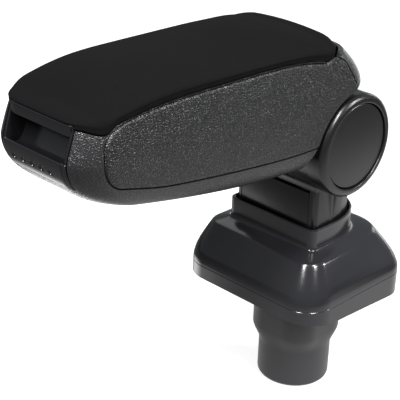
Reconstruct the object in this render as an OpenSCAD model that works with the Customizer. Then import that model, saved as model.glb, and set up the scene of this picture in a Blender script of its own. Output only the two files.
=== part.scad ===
/* [Cup plug] */
// Outer diameter of the plug that drops into the cup holder
plug_d = 72; // [66:0.5:76]
// Height of the plug, up to the steel plate
plug_h = 122; // [118:1:130]
// Wall of the plug
plug_wall = 3; // [2.5:0.5:4]
// Thickness of the plug's floor
plug_floor = 4; // [3:0.5:6]
// Height at which the round plug starts to turn square
plug_square_z = 38; // [34:1:44]
// Half width of the squared shoulder of the plug
plug_shoulder = 37.5; // [37:0.5:39]
// Corner radius of the squared shoulder
plug_shoulder_r = 24; // [20:1:26]

/* [Steel frame] */
// Thickness of the steel mounting plate
plate_t = 3; // [2:0.5:5]
// Length of the steel plate, front to back
plate_l = 112; // [104:1:124]
// Width of the steel plate
plate_w = 118; // [112:1:130]
// Outer width of the square steel tube
tube_w = 40; // [36:1:44]
// Wall of the square steel tube
tube_wall = 2.5; // [2:0.5:4]
// Distance from the hinge axis down to the top of the square steel tube
tube_drop = 58.4; // [55.4:0.5:64.4]

/* [Base cover] */
// Front edge of the skirt, in front of the plug's axis
skirt_front = 83.6; // [78:0.5:90]
// Rear edge of the skirt, behind the plug's axis
skirt_rear = 67.6; // [64:0.5:74]
// Width of the skirt
skirt_w = 165.8; // [156:1:176]
// Corner radius of the skirt, seen from above
skirt_r = 29.4; // [24:1:34]
// Height of the skirt's lower edge above the plug's foot
skirt_z = 114.5; // [112:0.5:117]
// How much lower the skirt hangs beside the plug than in front
skirt_drop = 5; // [0:0.5:7]
// How much lower it hangs again at its rear edge
skirt_sink = 5.5; // [0:0.5:6]
// Height of the upright band round the skirt
band_h = 13; // [10:0.5:15]
// Wall of the base cover
cover_wall = 2.4; // [2:0.2:3]
// Height of the collar's rim above the plug's foot
collar_z = 193.2; // [188:1:196]
// Front face of the collar, in front of the plug's axis
collar_front = 49.8; // [49:0.2:52]
// Half width of the collar
collar_half = 53; // [52.4:0.2:55]
// Distance from the collar's widest place to its rear tip
collar_back = 66; // [65:0.5:69]

/* [Post] */
// Front face of the post, in front of the plug's axis
post_front = 45.2; // [44:0.2:46]
// Half width of the post
post_half = 48.8; // [47:0.2:49.4]
// Distance from the post's widest place to its rear tip
post_back = 61; // [58:0.5:62]
// Height of the post's foot, inside the collar
post_z = 178; // [172:1:184]
// Half width of the front panel
panel_half = 41; // [36:0.5:43]
// Thickness of the front panel
panel_t = 2.5; // [2:0.5:4]
// Top of the front panel
panel_top = 227; // [222:1:228]

/* [Hinge] */
// Distance of the arm's hinge axis behind the plug's axis
hinge_x = -15.5; // [-18:0.5:-12]
// Height of the arm's hinge axis above the plug's foot
hinge_z = 273.4; // [271:0.5:276]
// Radius of the round hinge head and of its caps
head_r = 47.6; // [46.4:0.2:48.4]
// Half width of the round hinge head between the caps
head_half = 49; // [47:0.5:51]
// Half width of the arm's knuckle
knuckle_half = 24; // [20:0.5:26]
// Radius of the hinge shaft
shaft_r = 8; // [6:0.5:9]
// Outer radius of the caps' inner discs
disc_r = 39.9; // [36:0.5:41]
// Width of the arm over both caps
cap_span = 131.8; // [129:0.4:134]

/* [Arm] */
// Front tip of the arm, in front of the plug's axis
arm_front = 327; // [325:1:330]
// Width of the arm at its widest
arm_w = 132; // [128:1:136]
// Radius of the hollow that goes round the hinge head
arc_r = 52; // [51:0.2:53]
// Wall of the arm's lower shell
shell_wall = 2.6; // [2.2:0.2:3.2]
// Corner radius at the front, seen from above
front_r = 32; // [28:1:36]
// Corner radius at the rear, seen from above
rear_r = 28; // [22:1:32]
// Height of the lid's joint line above the plug's foot
joint_z = 370; // [368:0.5:373]
// Half width of the arm at its front, as a share of its half width at the rear
front_taper_share = 0.87; // [0.84:0.01:0.95]

/* [Lid] */
// Thickness of the lid's moulded plate
lid_plate_t = 3; // [2.5:0.5:4]
// Height of the padded top above the plate
pad_h = 10.5; // [9:0.5:15]

/* [Hidden] */

// Smoothness of round parts and of the shells' corners
round_fn = 96;
small_fn = 32;
corner_steps = 6;
side_steps = 9;
// Overrun of every cut, gap between seated pieces, and running gap round a shaft
cut = 1;
seat = 0.1;
run = 0.05;

// Fillets of the plug, and height over which its shoulder stays square
plug_edge_r = 5;
shoulder_z = 58;
shoulder_lap = 8;
// Screws: shank radius, head radius and head height
screw_r = 2;
screw_head_r = 4;
screw_head_h = 2.4;
// Plug screws sit in bosses in the squared corners
boss_r = 5;
boss_l = 16;
plug_screw_x = plug_shoulder - plug_wall - boss_r - seat;
plug_screw_l = 12;
// Plate corner radius and the places of the cover's screws
plate_r = 12;
plate_x = (skirt_rear - skirt_front) / 2;
plate_z = plug_h;
plate_top = plate_z + plate_t;
tube_h = hinge_z - tube_drop - plate_top;
cover_boss_x = plate_l / 2 - screw_head_r * 2;
cover_boss_y = plate_w / 2 - screw_head_r * 2;
cover_screw_l = 14;
collar_corner = 7;
// The plan of the post and its collar is widest here
wide_x = -28;
rear_power = 2.5;
// Share of the way from skirt to collar at each height share of the slope
slope_shares = [
    [0, 0], [0.12, 0.012], [0.26, 0.065], [0.39, 0.14], [0.51, 0.225], [0.77, 0.43], [0.85, 0.5],
    [0.885, 0.57], [0.9, 0.68], [0.905, 0.83], [0.92, 0.93], [0.955, 0.985], [1, 1]
];
collar_root = 175;
band_z = skirt_z + band_h;

function lerp(a, b, s) = a + (b - a) * s;
function unit(s) = max(0, min(1, s));
function round_share(s) = sqrt(1 - pow(1 - unit(s), 2));
// A half outline, listed front to rear along the right side, closed with its mirror image
function both_halves(half) = concat(
    half,
    [for (i = [len(half) - 1:-1:0]) [half[i][0], -half[i][1]]]
);
function corner(cx, cy, r, from, to) = [
    for (i = [0:corner_steps])
        [cx + r * cos(lerp(from, to, i / corner_steps)), cy + r * sin(lerp(from, to, i / corner_steps))]
];
// Half of a rounded rectangle; rf and rr are its front and rear corner radii
function box_half(x0, x1, half, rf, rr) = concat(
    corner(x0 + rf, rf - half, rf, 180, 270),
    [for (i = [1:side_steps]) [lerp(x0 + rf, x1 - rr, i / (side_steps + 1)), -half]],
    corner(x1 - rr, rr - half, rr, 270, 360)
);
// Half of the post's plan: flat front with small corners, sides that curve in to the rear
function post_half_plan(front, half, back) = concat(
    corner(-front + collar_corner, collar_corner - half, collar_corner, 180, 270),
    [for (i = [1:side_steps + corner_steps + 1])
        let (a = 90 * i / (side_steps + corner_steps + 1.5), u = pow(sin(a), 2 / rear_power))
        [wide_x + back * u, -half * pow(cos(a), 2 / rear_power)]]
);
// Sides and flat ends of a loft through rings of equal length
function loft_faces(levels, n) = concat(
    [for (k = [0:levels - 2], i = [0:n - 1]) [k * n + i, (k + 1) * n + i, (k + 1) * n + (i + 1) % n]],
    [for (k = [0:levels - 2], i = [0:n - 1]) [k * n + i, (k + 1) * n + (i + 1) % n, k * n + (i + 1) % n]],
    [for (i = [0:n / 2 - 2]) [i, i + 1, n - 2 - i]],
    [for (i = [0:n / 2 - 2]) [i, n - 2 - i, n - 1 - i]],
    let (top = (levels - 1) * n) [for (i = [0:n / 2 - 2]) [top + n - 2 - i, top + i + 1, top + i]],
    let (top = (levels - 1) * n) [for (i = [0:n / 2 - 2]) [top + n - 1 - i, top + n - 2 - i, top + i]]
);
module loft(rings) {
    polyhedron([for (ring = rings) each ring], loft_faces(len(rings), len(rings[0])), convexity = 6);
}
module across(half) {
    translate([0, half, 0]) rotate([90, 0, 0]) linear_extrude(2 * half) children();
}
module at_hinge() {
    translate([hinge_x, 0, hinge_z]) children();
}
// A round bar on the hinge's own axis direction, from y0 to y1
module bar_y(r, y0, y1, fn = round_fn) {
    translate([0, y1, 0]) rotate([90, 0, 0]) cylinder(r = r, h = y1 - y0, $fn = fn);
}
// A screw with its head's seat at the origin and its shank pointing down
module screw(l, r = screw_r, head_r = screw_head_r, head_h = screw_head_h) {
    translate([0, 0, -l]) cylinder(r = r, h = l, $fn = small_fn);
    cylinder(r = head_r, h = head_h, $fn = small_fn);
}
module four(x, y) {
    for (sx = [-1, 1], sy = [-1, 1]) translate([sx * x, sy * y, 0]) children();
}

module plug_shoulder_shape(inset, top) {
    hull() {
        translate([0, 0, plug_square_z]) cylinder(r = plug_d / 2 - inset, h = cut, $fn = small_fn * 2);
        translate([0, 0, shoulder_z])
            four(plug_shoulder - plug_shoulder_r, plug_shoulder - plug_shoulder_r)
                cylinder(r = plug_shoulder_r - inset, h = top - shoulder_z, $fn = small_fn);
    }
}

module cup_plug() {
    r = plug_d / 2;
    color("#202022") difference() {
        union() {
            rotate_extrude($fn = round_fn) difference() {
                polygon([
                    [0, 0],
                    for (a = [0:15:90]) [r - plug_edge_r * (1 - sin(a)), plug_edge_r * (1 - cos(a))],
                    [r, plug_square_z + shoulder_lap], [r - plug_wall, plug_square_z + shoulder_lap],
                    [r - plug_wall, plug_floor], [0, plug_floor]
                ]);
            }
            difference() {
                plug_shoulder_shape(0, plug_h);
                translate([0, 0, -cut]) plug_shoulder_shape(plug_wall, plug_h + 2 * cut);
                cylinder(r = r - plug_wall, h = plug_square_z + shoulder_lap, $fn = round_fn);
            }
            translate([0, 0, plug_h - boss_l]) four(plug_screw_x, plug_screw_x)
                cylinder(r = boss_r, h = boss_l, $fn = small_fn);
        }
        translate([0, 0, plug_h - plug_screw_l]) four(plug_screw_x, plug_screw_x)
            cylinder(r = screw_r + run, h = plug_screw_l + cut, $fn = small_fn);
    }
}

module mounting_plate() {
    color("#55575a") difference() {
        translate([plate_x, 0, plate_z]) linear_extrude(plate_t) difference() {
            hull() four(plate_l / 2 - plate_r, plate_w / 2 - plate_r) circle(plate_r, $fn = small_fn);
            four(cover_boss_x, cover_boss_y) circle(screw_r + run, $fn = small_fn);
        }
        translate([0, 0, plate_z - cut]) four(plug_screw_x, plug_screw_x)
            cylinder(r = screw_r + run, h = plate_t + 2 * cut, $fn = small_fn);
    }
}

module plug_screws() {
    color("#8f9194") translate([0, 0, plate_top]) four(plug_screw_x, plug_screw_x)
        screw(plug_screw_l - cut + plate_t);
}

module post_tube() {
    color("#55575a") translate([hinge_x, 0, plate_top]) difference() {
        linear_extrude(tube_h) difference() {
            square(tube_w, center = true);
            square(tube_w - 2 * tube_wall, center = true);
        }
        for (z = bolt_zs) translate([-tube_w, 0, z - plate_top]) rotate([0, 90, 0])
            cylinder(r = bolt_r + run, h = tube_w, $fn = small_fn);
    }
}

// Cross bolts that hold the post on the steel tube
bolt_r = 3;
bolt_head_r = 5;
bolt_head_h = 3;
bolt_pitch = 14;
bolt_zs = [for (s = [0.5, 1.5]) plate_top + tube_h - bolt_pitch * s - bolt_head_r];

function cover_ring(z, share, inset) = let (
    r = skirt_r - inset,
    skirt = box_half(inset - skirt_front, skirt_rear - inset, skirt_w / 2 - inset, r, r),
    collar = post_half_plan(collar_front - inset, collar_half - inset, collar_back - inset)
) [for (p = both_halves([for (i = [0:len(skirt) - 1]) lerp(skirt[i], collar[i], share)])) [p[0], p[1], z]];

// The skirt's lower edge, level in front, dropped at the sides and a little more to the rear
function hem(ring) = [
    for (p = ring) let (s = unit((p[0] + skirt_front) / (skirt_front - skirt_r)))
        [p[0], p[1], p[2] - skirt_drop * s * s * (3 - 2 * s)
            - skirt_sink * unit((p[0] + skirt_r) / (skirt_rear + skirt_r))]
];
function cover_rings(inset, bottom, top) = concat(
    [hem(cover_ring(bottom, 0, inset))],
    [for (s = slope_shares) cover_ring(lerp(band_z, collar_root, s[0]) - inset, s[1], inset)],
    [cover_ring(top, 1, inset)]
);

module base_cover() {
    color("#1c1c1e") difference() {
        union() {
            difference() {
                loft(cover_rings(0, skirt_z, collar_z));
                loft(cover_rings(cover_wall, skirt_z - cut, collar_z + cut));
            }
            intersection() {
                translate([plate_x, 0, plate_top + seat]) four(cover_boss_x, cover_boss_y)
                    cylinder(r = boss_r, h = collar_root - plate_top, $fn = small_fn);
                loft(cover_rings(cover_wall / 2, skirt_z - cut, collar_z));
            }
        }
        translate([plate_x, 0, plate_top - cut]) four(cover_boss_x, cover_boss_y)
            cylinder(r = screw_r + run, h = cover_screw_l + cut, $fn = small_fn);
    }
}

module cover_screws() {
    color("#8f9194") translate([plate_x, 0, plate_z]) four(cover_boss_x, cover_boss_y)
        mirror([0, 0, 1]) screw(cover_screw_l + plate_t - cut);
}

// Height of the neck's fillet under the round head, at the post's front
neck_fillet_r = 14;
neck_centre_x = -post_front - neck_fillet_r;
neck_centre_z = hinge_z - sqrt(pow(head_r + neck_fillet_r, 2) - pow(neck_centre_x - hinge_x, 2));
neck_share = head_r / (head_r + neck_fillet_r);
knuckle_gap = 0.5;
seat_r = head_r + knuckle_gap;
panel_gap = 0.3;
panel_rise = 4;
panel_foot = post_z + panel_rise;
slot_h = 3;
// Bore of the cap discs' spigots in the head
spigot_r = 26;
spigot_l = 6;
nut_pocket_r = 18;
nut_pocket_l = 14;

module post_plan() {
    polygon(both_halves(post_half_plan(post_front, post_half, post_back)));
}

module hinge_post() {
    color("#2a2a2d") difference() {
        union() {
            translate([0, 0, post_z]) linear_extrude(neck_centre_z - post_z) post_plan();
            at_hinge() bar_y(head_r, -head_half, head_half);
            // Neck that flares from the post into the round head
            intersection() {
                translate([0, 0, post_z]) linear_extrude(hinge_z - post_z)
                    offset(delta = neck_fillet_r) post_plan();
                across(head_half) difference() {
                    polygon([
                        [-post_front, neck_centre_z],
                        [hinge_x + head_r, neck_centre_z],
                        [hinge_x + head_r, hinge_z],
                        [hinge_x, hinge_z],
                        [lerp(hinge_x, neck_centre_x, neck_share), lerp(hinge_z, neck_centre_z, neck_share)],
                        [neck_centre_x, neck_centre_z]
                    ]);
                    translate([neck_centre_x, neck_centre_z]) circle(neck_fillet_r, $fn = round_fn);
                }
            }
        }
        // Room for the arm's knuckle between the two cheeks
        at_hinge() bar_y(seat_r, -knuckle_half - knuckle_gap, knuckle_half + knuckle_gap);
        at_hinge() bar_y(shaft_r + run, -head_half - cut, head_half + cut);
        for (side = [-1, 1]) at_hinge() {
            translate([0, side * (head_half - nut_pocket_l / 2 + cut / 2), 0])
                bar_y(nut_pocket_r, -nut_pocket_l / 2 - cut / 2, nut_pocket_l / 2 + cut / 2);
            translate([0, side * (head_half - spigot_l / 2 + cut / 2), 0])
                bar_y(spigot_r + seat, -spigot_l / 2 - cut / 2, spigot_l / 2 + cut / 2);
        }
        // Pocket for the steel tube
        translate([hinge_x, 0, post_z - cut]) linear_extrude(plate_top + tube_h + seat - post_z + cut)
            square(tube_w + 2 * seat, center = true);
        // Recess for the front panel, open at the top as a dark slot
        translate([-post_front - cut, -panel_half - panel_gap, panel_foot - panel_gap])
            cube([
                panel_t + panel_gap + cut,
                2 * (panel_half + panel_gap),
                panel_top + slot_h - panel_foot + panel_gap
            ]);
        for (z = bolt_zs) translate([-post_front, 0, z]) rotate([0, 90, 0]) {
            cylinder(r = bolt_r + run, h = post_front + hinge_x, $fn = small_fn);
            cylinder(r = bolt_head_r + panel_gap, h = panel_t + bolt_head_h + 2 * panel_gap, $fn = small_fn);
        }
    }
}

module post_front_panel() {
    color("#29292c") translate([-post_front, -panel_half, panel_foot])
        cube([panel_t, 2 * panel_half, panel_top - panel_foot]);
}

module tube_bolts() {
    color("#8f9194") for (z = bolt_zs)
        translate([-post_front + panel_t + bolt_head_h + 2 * panel_gap, 0, z]) rotate([0, -90, 0])
            screw(
                post_front + hinge_x - tube_w / 2 + tube_wall * 2 - panel_t,
                bolt_r, bolt_head_r, bolt_head_h
            );
}

// Shaft: head on the left, nut on the right, one washer under each
washer_t = 1.6;
washer_r = 15;
nut_r = 13;
nut_h = 7;
shaft_seat = head_half - nut_pocket_l;
bush_wall = 2;
bush_flange = 2;

module pivot_shaft() {
    color("#8f9194") at_hinge() {
        bar_y(shaft_r, -shaft_seat - washer_t - seat, shaft_seat + washer_t + nut_h + seat);
        bar_y(nut_r, -shaft_seat - washer_t - nut_h, -shaft_seat - washer_t - seat, 6);
    }
}

module shaft_nut() {
    color("#8f9194") at_hinge() difference() {
        bar_y(nut_r, shaft_seat + washer_t + seat, shaft_seat + washer_t + nut_h, 6);
        bar_y(shaft_r + run, 0, head_half);
    }
}

module shaft_washers() {
    color("#a5a7aa") at_hinge() for (side = [-1, 1]) difference() {
        translate([0, side * (shaft_seat + washer_t / 2), 0]) bar_y(washer_r, -washer_t / 2, washer_t / 2);
        bar_y(shaft_r + run, -head_half, head_half);
    }
}

// Caps: a ring with a rounded outer edge and a dished disc inside it
cap_out = cap_span / 2;
cap_edge = 4;
ring_groove = 0.5;
disc_dish = 1.6;
disc_edge = 2;
disc_step = 0.8;
cap_floor = 2.4;

module cap_ring() {
    rotate([90, 0, 0]) rotate_extrude($fn = round_fn) polygon([
        [spigot_r, head_half], [head_r, head_half],
        for (a = [0:15:90]) [head_r - cap_edge * (1 - cos(a)), cap_out - cap_edge * (1 - sin(a))],
        [disc_r + ring_groove, cap_out], [disc_r + ring_groove, head_half + cap_floor],
        [spigot_r, head_half + cap_floor]
    ]);
}

module cap_disc() {
    top = cap_out - disc_step;
    rotate([90, 0, 0]) rotate_extrude($fn = round_fn) polygon([
        [0, head_half + cap_floor + seat], [0, top - disc_dish],
        for (i = [1:corner_steps]) let (s = i / corner_steps)
            [(disc_r - disc_edge) * s, top - disc_dish * (1 - s * s)],
        for (a = [75:-25:0]) [disc_r - disc_edge * (1 - cos(a)), top - disc_edge * (1 - sin(a))],
        [disc_r, head_half + cap_floor + seat], [spigot_r, head_half + cap_floor + seat],
        [spigot_r, head_half - spigot_l / 2], [spigot_r - plug_wall, head_half - spigot_l / 2],
        [spigot_r - plug_wall, head_half + cap_floor + seat]
    ]);
}

module right_cap_ring() { color("#2b2b2e") at_hinge() mirror([0, 1, 0]) cap_ring(); }
module left_cap_ring() { color("#2b2b2e") at_hinge() cap_ring(); }
module right_cap_disc() { color("#2d2d30") at_hinge() mirror([0, 1, 0]) cap_disc(); }
module left_cap_disc() { color("#2d2d30") at_hinge() cap_disc(); }

// The arm's outer form: level 0 is its underside, level 1 the joint line of the lid
under_low = 263.8;
under_rise = 27.5;
under_x = -70;
under_reach = 210;
under_power = 1.65;
rear_low_x = -2;
rear_top_x = -23;
nose_l = 36;
bar_lean = 7;
lip_share = 0.57;
rear_share = 0.68;
side_round = 12;
side_round_share = 0.2;
side_bow = 3.5;
front_drop = 10;
rear_drop = 10.5;
rim_rise = 6;
rim_x = -44;
rim_l = 8;
crest_x = -205;
front_reach = 100;
rear_reach = 150;
drop_power = 2.4;
rear_drop_power = 4.5;
taper_x = -60;
taper_power = 1.3;
form_h = joint_z - under_low;
level_shares = [0, 0.025, 0.07, 0.14, 0.24, 0.36, 0.47, 0.57, 0.68, 0.8, 0.9, 1];

function under_z(x) = under_low + under_rise * pow(max(0, (under_x - x) / under_reach), under_power);
function joint_at(x) = joint_z - (x < crest_x
    ? front_drop * pow(unit((crest_x - x) / front_reach), drop_power)
    : rear_drop * pow(unit((x - crest_x) / rear_reach), rear_drop_power));
// The shell's rim stands up behind the lid
function rim_at(x) = let (s = unit((x - rim_x) / rim_l)) joint_at(x) + rim_rise * s * s * (3 - 2 * s);
function taper(x) =
    1 - (1 - front_taper_share) * pow(unit((taper_x - x) / (arm_front + taper_x)), taper_power);
function form_front(t) = -arm_front + nose_l * (1 - round_share(t / lip_share))
    + bar_lean * unit((t - lip_share) / (1 - lip_share));
function form_rear(t) = lerp(rear_low_x, rear_top_x, unit((t - rear_share) / (1 - rear_share)));
function form_half(t) = arm_w / 2 - side_bow * pow(2 * t - 1, 2)
    - side_round * (1 - round_share(t / side_round_share));
function form_plan(t, inset) = [
    for (p = both_halves(box_half(form_front(t) + inset, form_rear(t) - inset, form_half(t) - inset,
        max(front_r - inset, seat), max(rear_r - inset, seat))))
        [p[0], p[1] * taper(p[0])]
];
function form_ring(t, inset, lift) = [
    for (p = form_plan(t, inset)) [p[0], p[1], lerp(under_z(p[0]) + lift, rim_at(p[0]), t)]
];
module arm_form(inset = 0, lift = 0, over = 0) {
    loft(concat(
        [for (t = level_shares) form_ring(t, inset, lift)],
        over > 0 ? [[for (p = form_ring(1, inset, lift)) [p[0], p[1], p[2] + over]]] : []
    ));
}

// What the arm leaves free round the hinge head; grow makes it larger by a wall
foot_x = -77;
foot_z = 271;
arc_leave_deg = 160;
arc_top_deg = 110;
tail_z = 335;
module head_room(grow = 0) {
    at_hinge() bar_y(arc_r + grow, -arm_w, arm_w);
    across(arm_w) polygon([
        [hinge_x + (arc_r + grow) * cos(arc_leave_deg), hinge_z + (arc_r + grow) * sin(arc_leave_deg)],
        [foot_x - grow, foot_z], [foot_x - grow, foot_z - arc_r], [hinge_x + arm_w, foot_z - arc_r],
        [hinge_x + arm_w, tail_z + grow], [rear_low_x, tail_z + grow],
        [hinge_x + (arc_r + grow) * cos(arc_top_deg), hinge_z + (arc_r + grow) * sin(arc_top_deg)]
    ]);
}

// Window for the finger mouth in the front of the shell
mouth_reach = 11.065;
mouth_half = (arm_w / 2 - side_bow - front_r) * front_taper_share + mouth_reach;
mouth_foot = 313;
window_back = 296;
// Outline of the side panels on the arm's side
panel_in = 2.4;
panel_groove = 0.5;
panel_rim = 1.2;
panel_front_x = -303.5;
panel_rear_x = -24;
panel_round = 22;
panel_lift = 21.6;
// Lower edge: share of the way from front to rear, and share of its lift above the underside
panel_low_shares = [
    [-0.008, 0.9], [0.1, 0.87], [0.178, 0.82], [0.248, 0.8], [0.32, 0.83],
    [0.383, 0.865], [0.578, 0.944], [0.717, 0.977], [1, 1]
];
panel_low = [
    for (s = panel_low_shares) let (x = lerp(panel_front_x, foot_x, s[0])) [x, under_z(x) + s[1] * panel_lift]
];
panel_high_shares = [0.14, 0.29, 0.54, 0.68, 0.8, 0.9, 0.95, 1];
panel_high_xs = [for (s = panel_high_shares) lerp(foot_x, panel_front_x, s)];
module side_outline(shrink = 0) {
    offset(delta = -shrink) offset(r = panel_round, $fn = round_fn) offset(delta = -panel_round)
        polygon(concat(
            panel_low,
            [
                [hinge_x + panel_round, hinge_z],
                [panel_rear_x + panel_round / 2, hinge_z + arc_r],
                [panel_rear_x, tail_z],
                [panel_rear_x - panel_round, joint_z - panel_rim]
            ],
            [for (x = panel_high_xs) [x, joint_at(x) - panel_rim]]
        ));
}

module side_band(side, shrink) {
    translate([0, side * arm_w / 2 + arm_w / 8, 0]) rotate([90, 0, 0])
        linear_extrude(arm_w / 4) side_outline(shrink);
}

bulkhead_x = -123;
window_half = 18.5;
module arm_shell() {
    color("#39393b") difference() {
        arm_form();
        head_room();
        // Shallow recess in each side for the applied panel
        difference() {
            for (side = [-1, 1]) side_band(side, 0);
            arm_form(panel_in);
        }
        // Hollow inside, with the wall kept round the hinge head
        difference() {
            arm_form(panel_in + shell_wall, shell_wall, cut);
            head_room(shell_wall);
            translate([bulkhead_x, -arm_w, under_low]) cube([shell_wall, 2 * arm_w, form_h]);
        }
        // Window for the finger mouth and the release bar
        translate([-arm_front - cut, -mouth_half, mouth_foot])
            cube([arm_front - window_back + cut, 2 * mouth_half, form_h]);
        // Slot for the knuckle's web, and holes for the screws of its foot
        across(window_half) knuckle_web(seat);
        foot_holes();
        // The rear rim is thinned for the lid's hinge
        translate([bracket_front, -hinge_half - panel_gap, bracket_top])
            cube([rear_top_x - shell_wall - bracket_front, 2 * (hinge_half + panel_gap), form_h]);
    }
}

module side_panel(side) {
    intersection() {
        difference() {
            arm_form();
            arm_form(panel_in - seat);
            head_room(panel_groove);
        }
        side_band(side, panel_groove);
    }
}
module right_side_panel() { color("#3b3b3d") side_panel(1); }
module left_side_panel() { color("#3b3b3d") side_panel(-1); }

// Web and foot plate of the knuckle, seen from the side
foot_t = 4;
foot_end_x = -119;
foot_lift = shell_wall + seat;
foot_half = 32;
foot_start_x = -84;
web_end_x = -100;
// Corners of the web, as shares of the hollow's radius from the hinge axis
web_low_shares = [[-0.471, 0.512], [-0.971, 0.377], [-1.231, -0.037]];
web_high_shares = [[-1.433, 0.319], [-1.125, 0.723], [-0.74, 0.954], [-0.279, 0.781]];
function from_hinge(shares) = [for (s = shares) [hinge_x + s[0] * arc_r, hinge_z + s[1] * arc_r]];
function on_floor(x, lift) = [x, under_z(x) + lift];
module knuckle_web(grow = 0) {
    offset(delta = grow) polygon(concat(
        from_hinge(web_low_shares),
        [
            on_floor(foot_start_x, foot_lift), on_floor(web_end_x, foot_lift),
            on_floor(web_end_x, foot_lift + foot_t)
        ],
        from_hinge(web_high_shares)
    ));
}

module arm_knuckle() {
    color("#47484b") difference() {
        union() {
            at_hinge() bar_y(head_r, -knuckle_half, knuckle_half);
            across(window_half - seat) difference() {
                knuckle_web();
                translate([hinge_x, hinge_z]) circle(shaft_r * 2, $fn = round_fn);
            }
            across(foot_half) polygon([
                on_floor(foot_start_x, foot_lift), on_floor(web_end_x, foot_lift),
                on_floor(foot_end_x, foot_lift), on_floor(foot_end_x, foot_lift + foot_t),
                on_floor(foot_start_x, foot_lift + foot_t)
            ]);
        }
        at_hinge() bar_y(shaft_r + bush_wall + run, -knuckle_half - cut, knuckle_half + cut);
        for (side = [-1, 1]) at_hinge()
            translate([0, side * (knuckle_half - bush_flange / 2 + cut / 2), 0])
                bar_y(
                    shaft_r + 2 * bush_wall + bush_flange,
                    -bush_flange / 2 - cut / 2, bush_flange / 2 + cut / 2
                );
        foot_holes();
    }
}

foot_screw_xs = [-92, -110];
foot_screw_y = 25;
head_lift = 0.7;
module foot_holes() {
    for (x = foot_screw_xs, side = [-1, 1]) translate([x, side * foot_screw_y, under_z(x) + cut / 2])
        cylinder(r = screw_r + run, h = foot_lift + foot_t + 2 * cut, $fn = small_fn);
}
module knuckle_screws() {
    color("#8f9194") for (x = foot_screw_xs, side = [-1, 1])
        translate([x, side * foot_screw_y, under_z(x) + foot_lift + foot_t + head_lift])
            screw(foot_t + shell_wall);
}

module bush() {
    difference() {
        union() {
            bar_y(shaft_r + bush_wall, -knuckle_half, -knuckle_half / 3);
            bar_y(
                shaft_r + 2 * bush_wall + bush_flange - seat,
                -knuckle_half, bush_flange - seat - knuckle_half
            );
        }
        bar_y(shaft_r + run, -knuckle_half - cut, 0);
    }
}
module right_bush() { color("#c9c5b4") at_hinge() mirror([0, 1, 0]) bush(); }
module left_bush() { color("#c9c5b4") at_hinge() bush(); }

// Mouth: a thin moulding with a dimpled lip, a scooped back and two cheeks
lip_wall = 2.6;
cheek_t = 2.2;
scoop_depth = 24;
bar_z = 353.2;
bar_h = 11;
bar_depth = 9;
dimple_r = 3.4;
dimple_depth = 1.2;
dimple_pitch_share = 0.4133;
dimple_z = 325;
dimple_x = -325.4;
lip_z = 335;
cheek_in = 1;
insert_half = mouth_half - seat;
insert_low_share = 0.218;
dimple_pitch = dimple_pitch_share * insert_half;
scoop_drop = 3;
scoop_top = joint_z - front_drop - scoop_drop;
scoop_back = -arm_front + scoop_depth;
nose_steps = 8;

// Points up the nose's side view, from the insert's foot to the lip
function nose_curve(inset, from, to) = [
    for (i = [0:nose_steps]) let (t = lerp(from, to, i / nose_steps), x = form_front(t))
        [x + inset, lerp(under_z(x), joint_at(x), t)]
];

module insert_profile() {
    polygon(concat(
        nose_curve(0, insert_low_share, lip_share),
        [for (a = [0:15:90]) [
            -arm_front + lip_wall + (scoop_depth - lip_wall) * sin(a),
            lip_z - (lip_z - mouth_foot) / 2 * sin(2 * a) * cos(a) + (bar_z - lip_z) * (1 - cos(a))
        ]],
        [
            [scoop_back, scoop_top], [scoop_back + lip_wall, scoop_top],
            [scoop_back + lip_wall, bar_z - scoop_depth], [scoop_back - lip_wall, mouth_foot + lip_wall]
        ]
    ));
}

module front_insert() {
    color("#141415") difference() {
        intersection() {
            union() {
                across(insert_half) insert_profile();
                for (side = [-1, 1]) translate([0, side * (insert_half - cheek_t / 2), 0]) across(cheek_t / 2)
                    polygon(concat(
                        nose_curve(cheek_in, insert_low_share, 1),
                        [
                            [bar_x + cheek_in, bar_z + bar_h], [bar_x + bar_depth - cheek_in, bar_z + bar_h],
                            [bar_x + bar_depth - cheek_in, scoop_top], [scoop_back + cheek_in, scoop_top],
                            [scoop_back, mouth_foot + lip_wall]
                        ]
                    ));
            }
            arm_form(0, 0, lip_wall);
        }
        translate([bar_pin_x, 0, bar_pin_z])
            bar_y(bar_pin_r + run, -insert_half - cut, insert_half + cut, small_fn);
        for (i = [-2:2]) translate([dimple_x - dimple_r + dimple_depth, i * dimple_pitch, dimple_z])
            sphere(dimple_r, $fn = small_fn);
    }
}

// Tray that lines the storage room
tray_front = 294;
tray_rear = 126;
tray_side = 16.5;
tray_half = arm_w / 2 - tray_side;
tray_narrow = 7.5;
tray_front_half = tray_half - tray_narrow;
tray_r = 10;
tray_wall = 1.6;
tray_lift = 5;
tray_top = 352;
module tray_plan(inset) {
    hull() for (side = [-1, 1]) {
        translate([-tray_front + tray_r, side * (tray_front_half - tray_r)])
            circle(tray_r - inset, $fn = small_fn);
        translate([-tray_rear - tray_r, side * (tray_half - tray_r)])
            circle(tray_r - inset, $fn = small_fn);
    }
}
module over_floor(lift) {
    across(arm_w) polygon(concat(
        [for (i = [0:side_steps]) let (x = lerp(-arm_front, 0, i / side_steps)) [x, under_z(x) + lift]],
        [[0, tray_top], [-arm_front, tray_top]]
    ));
}
module storage_tray() {
    color("#1b1b1c") difference() {
        intersection() {
            translate([0, 0, under_low]) linear_extrude(tray_top - under_low) tray_plan(0);
            over_floor(tray_lift);
        }
        intersection() {
            translate([0, 0, under_low]) linear_extrude(tray_top - under_low + cut) tray_plan(tray_wall);
            translate([0, 0, cut]) over_floor(tray_lift + tray_wall - cut);
        }
    }
}

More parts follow.
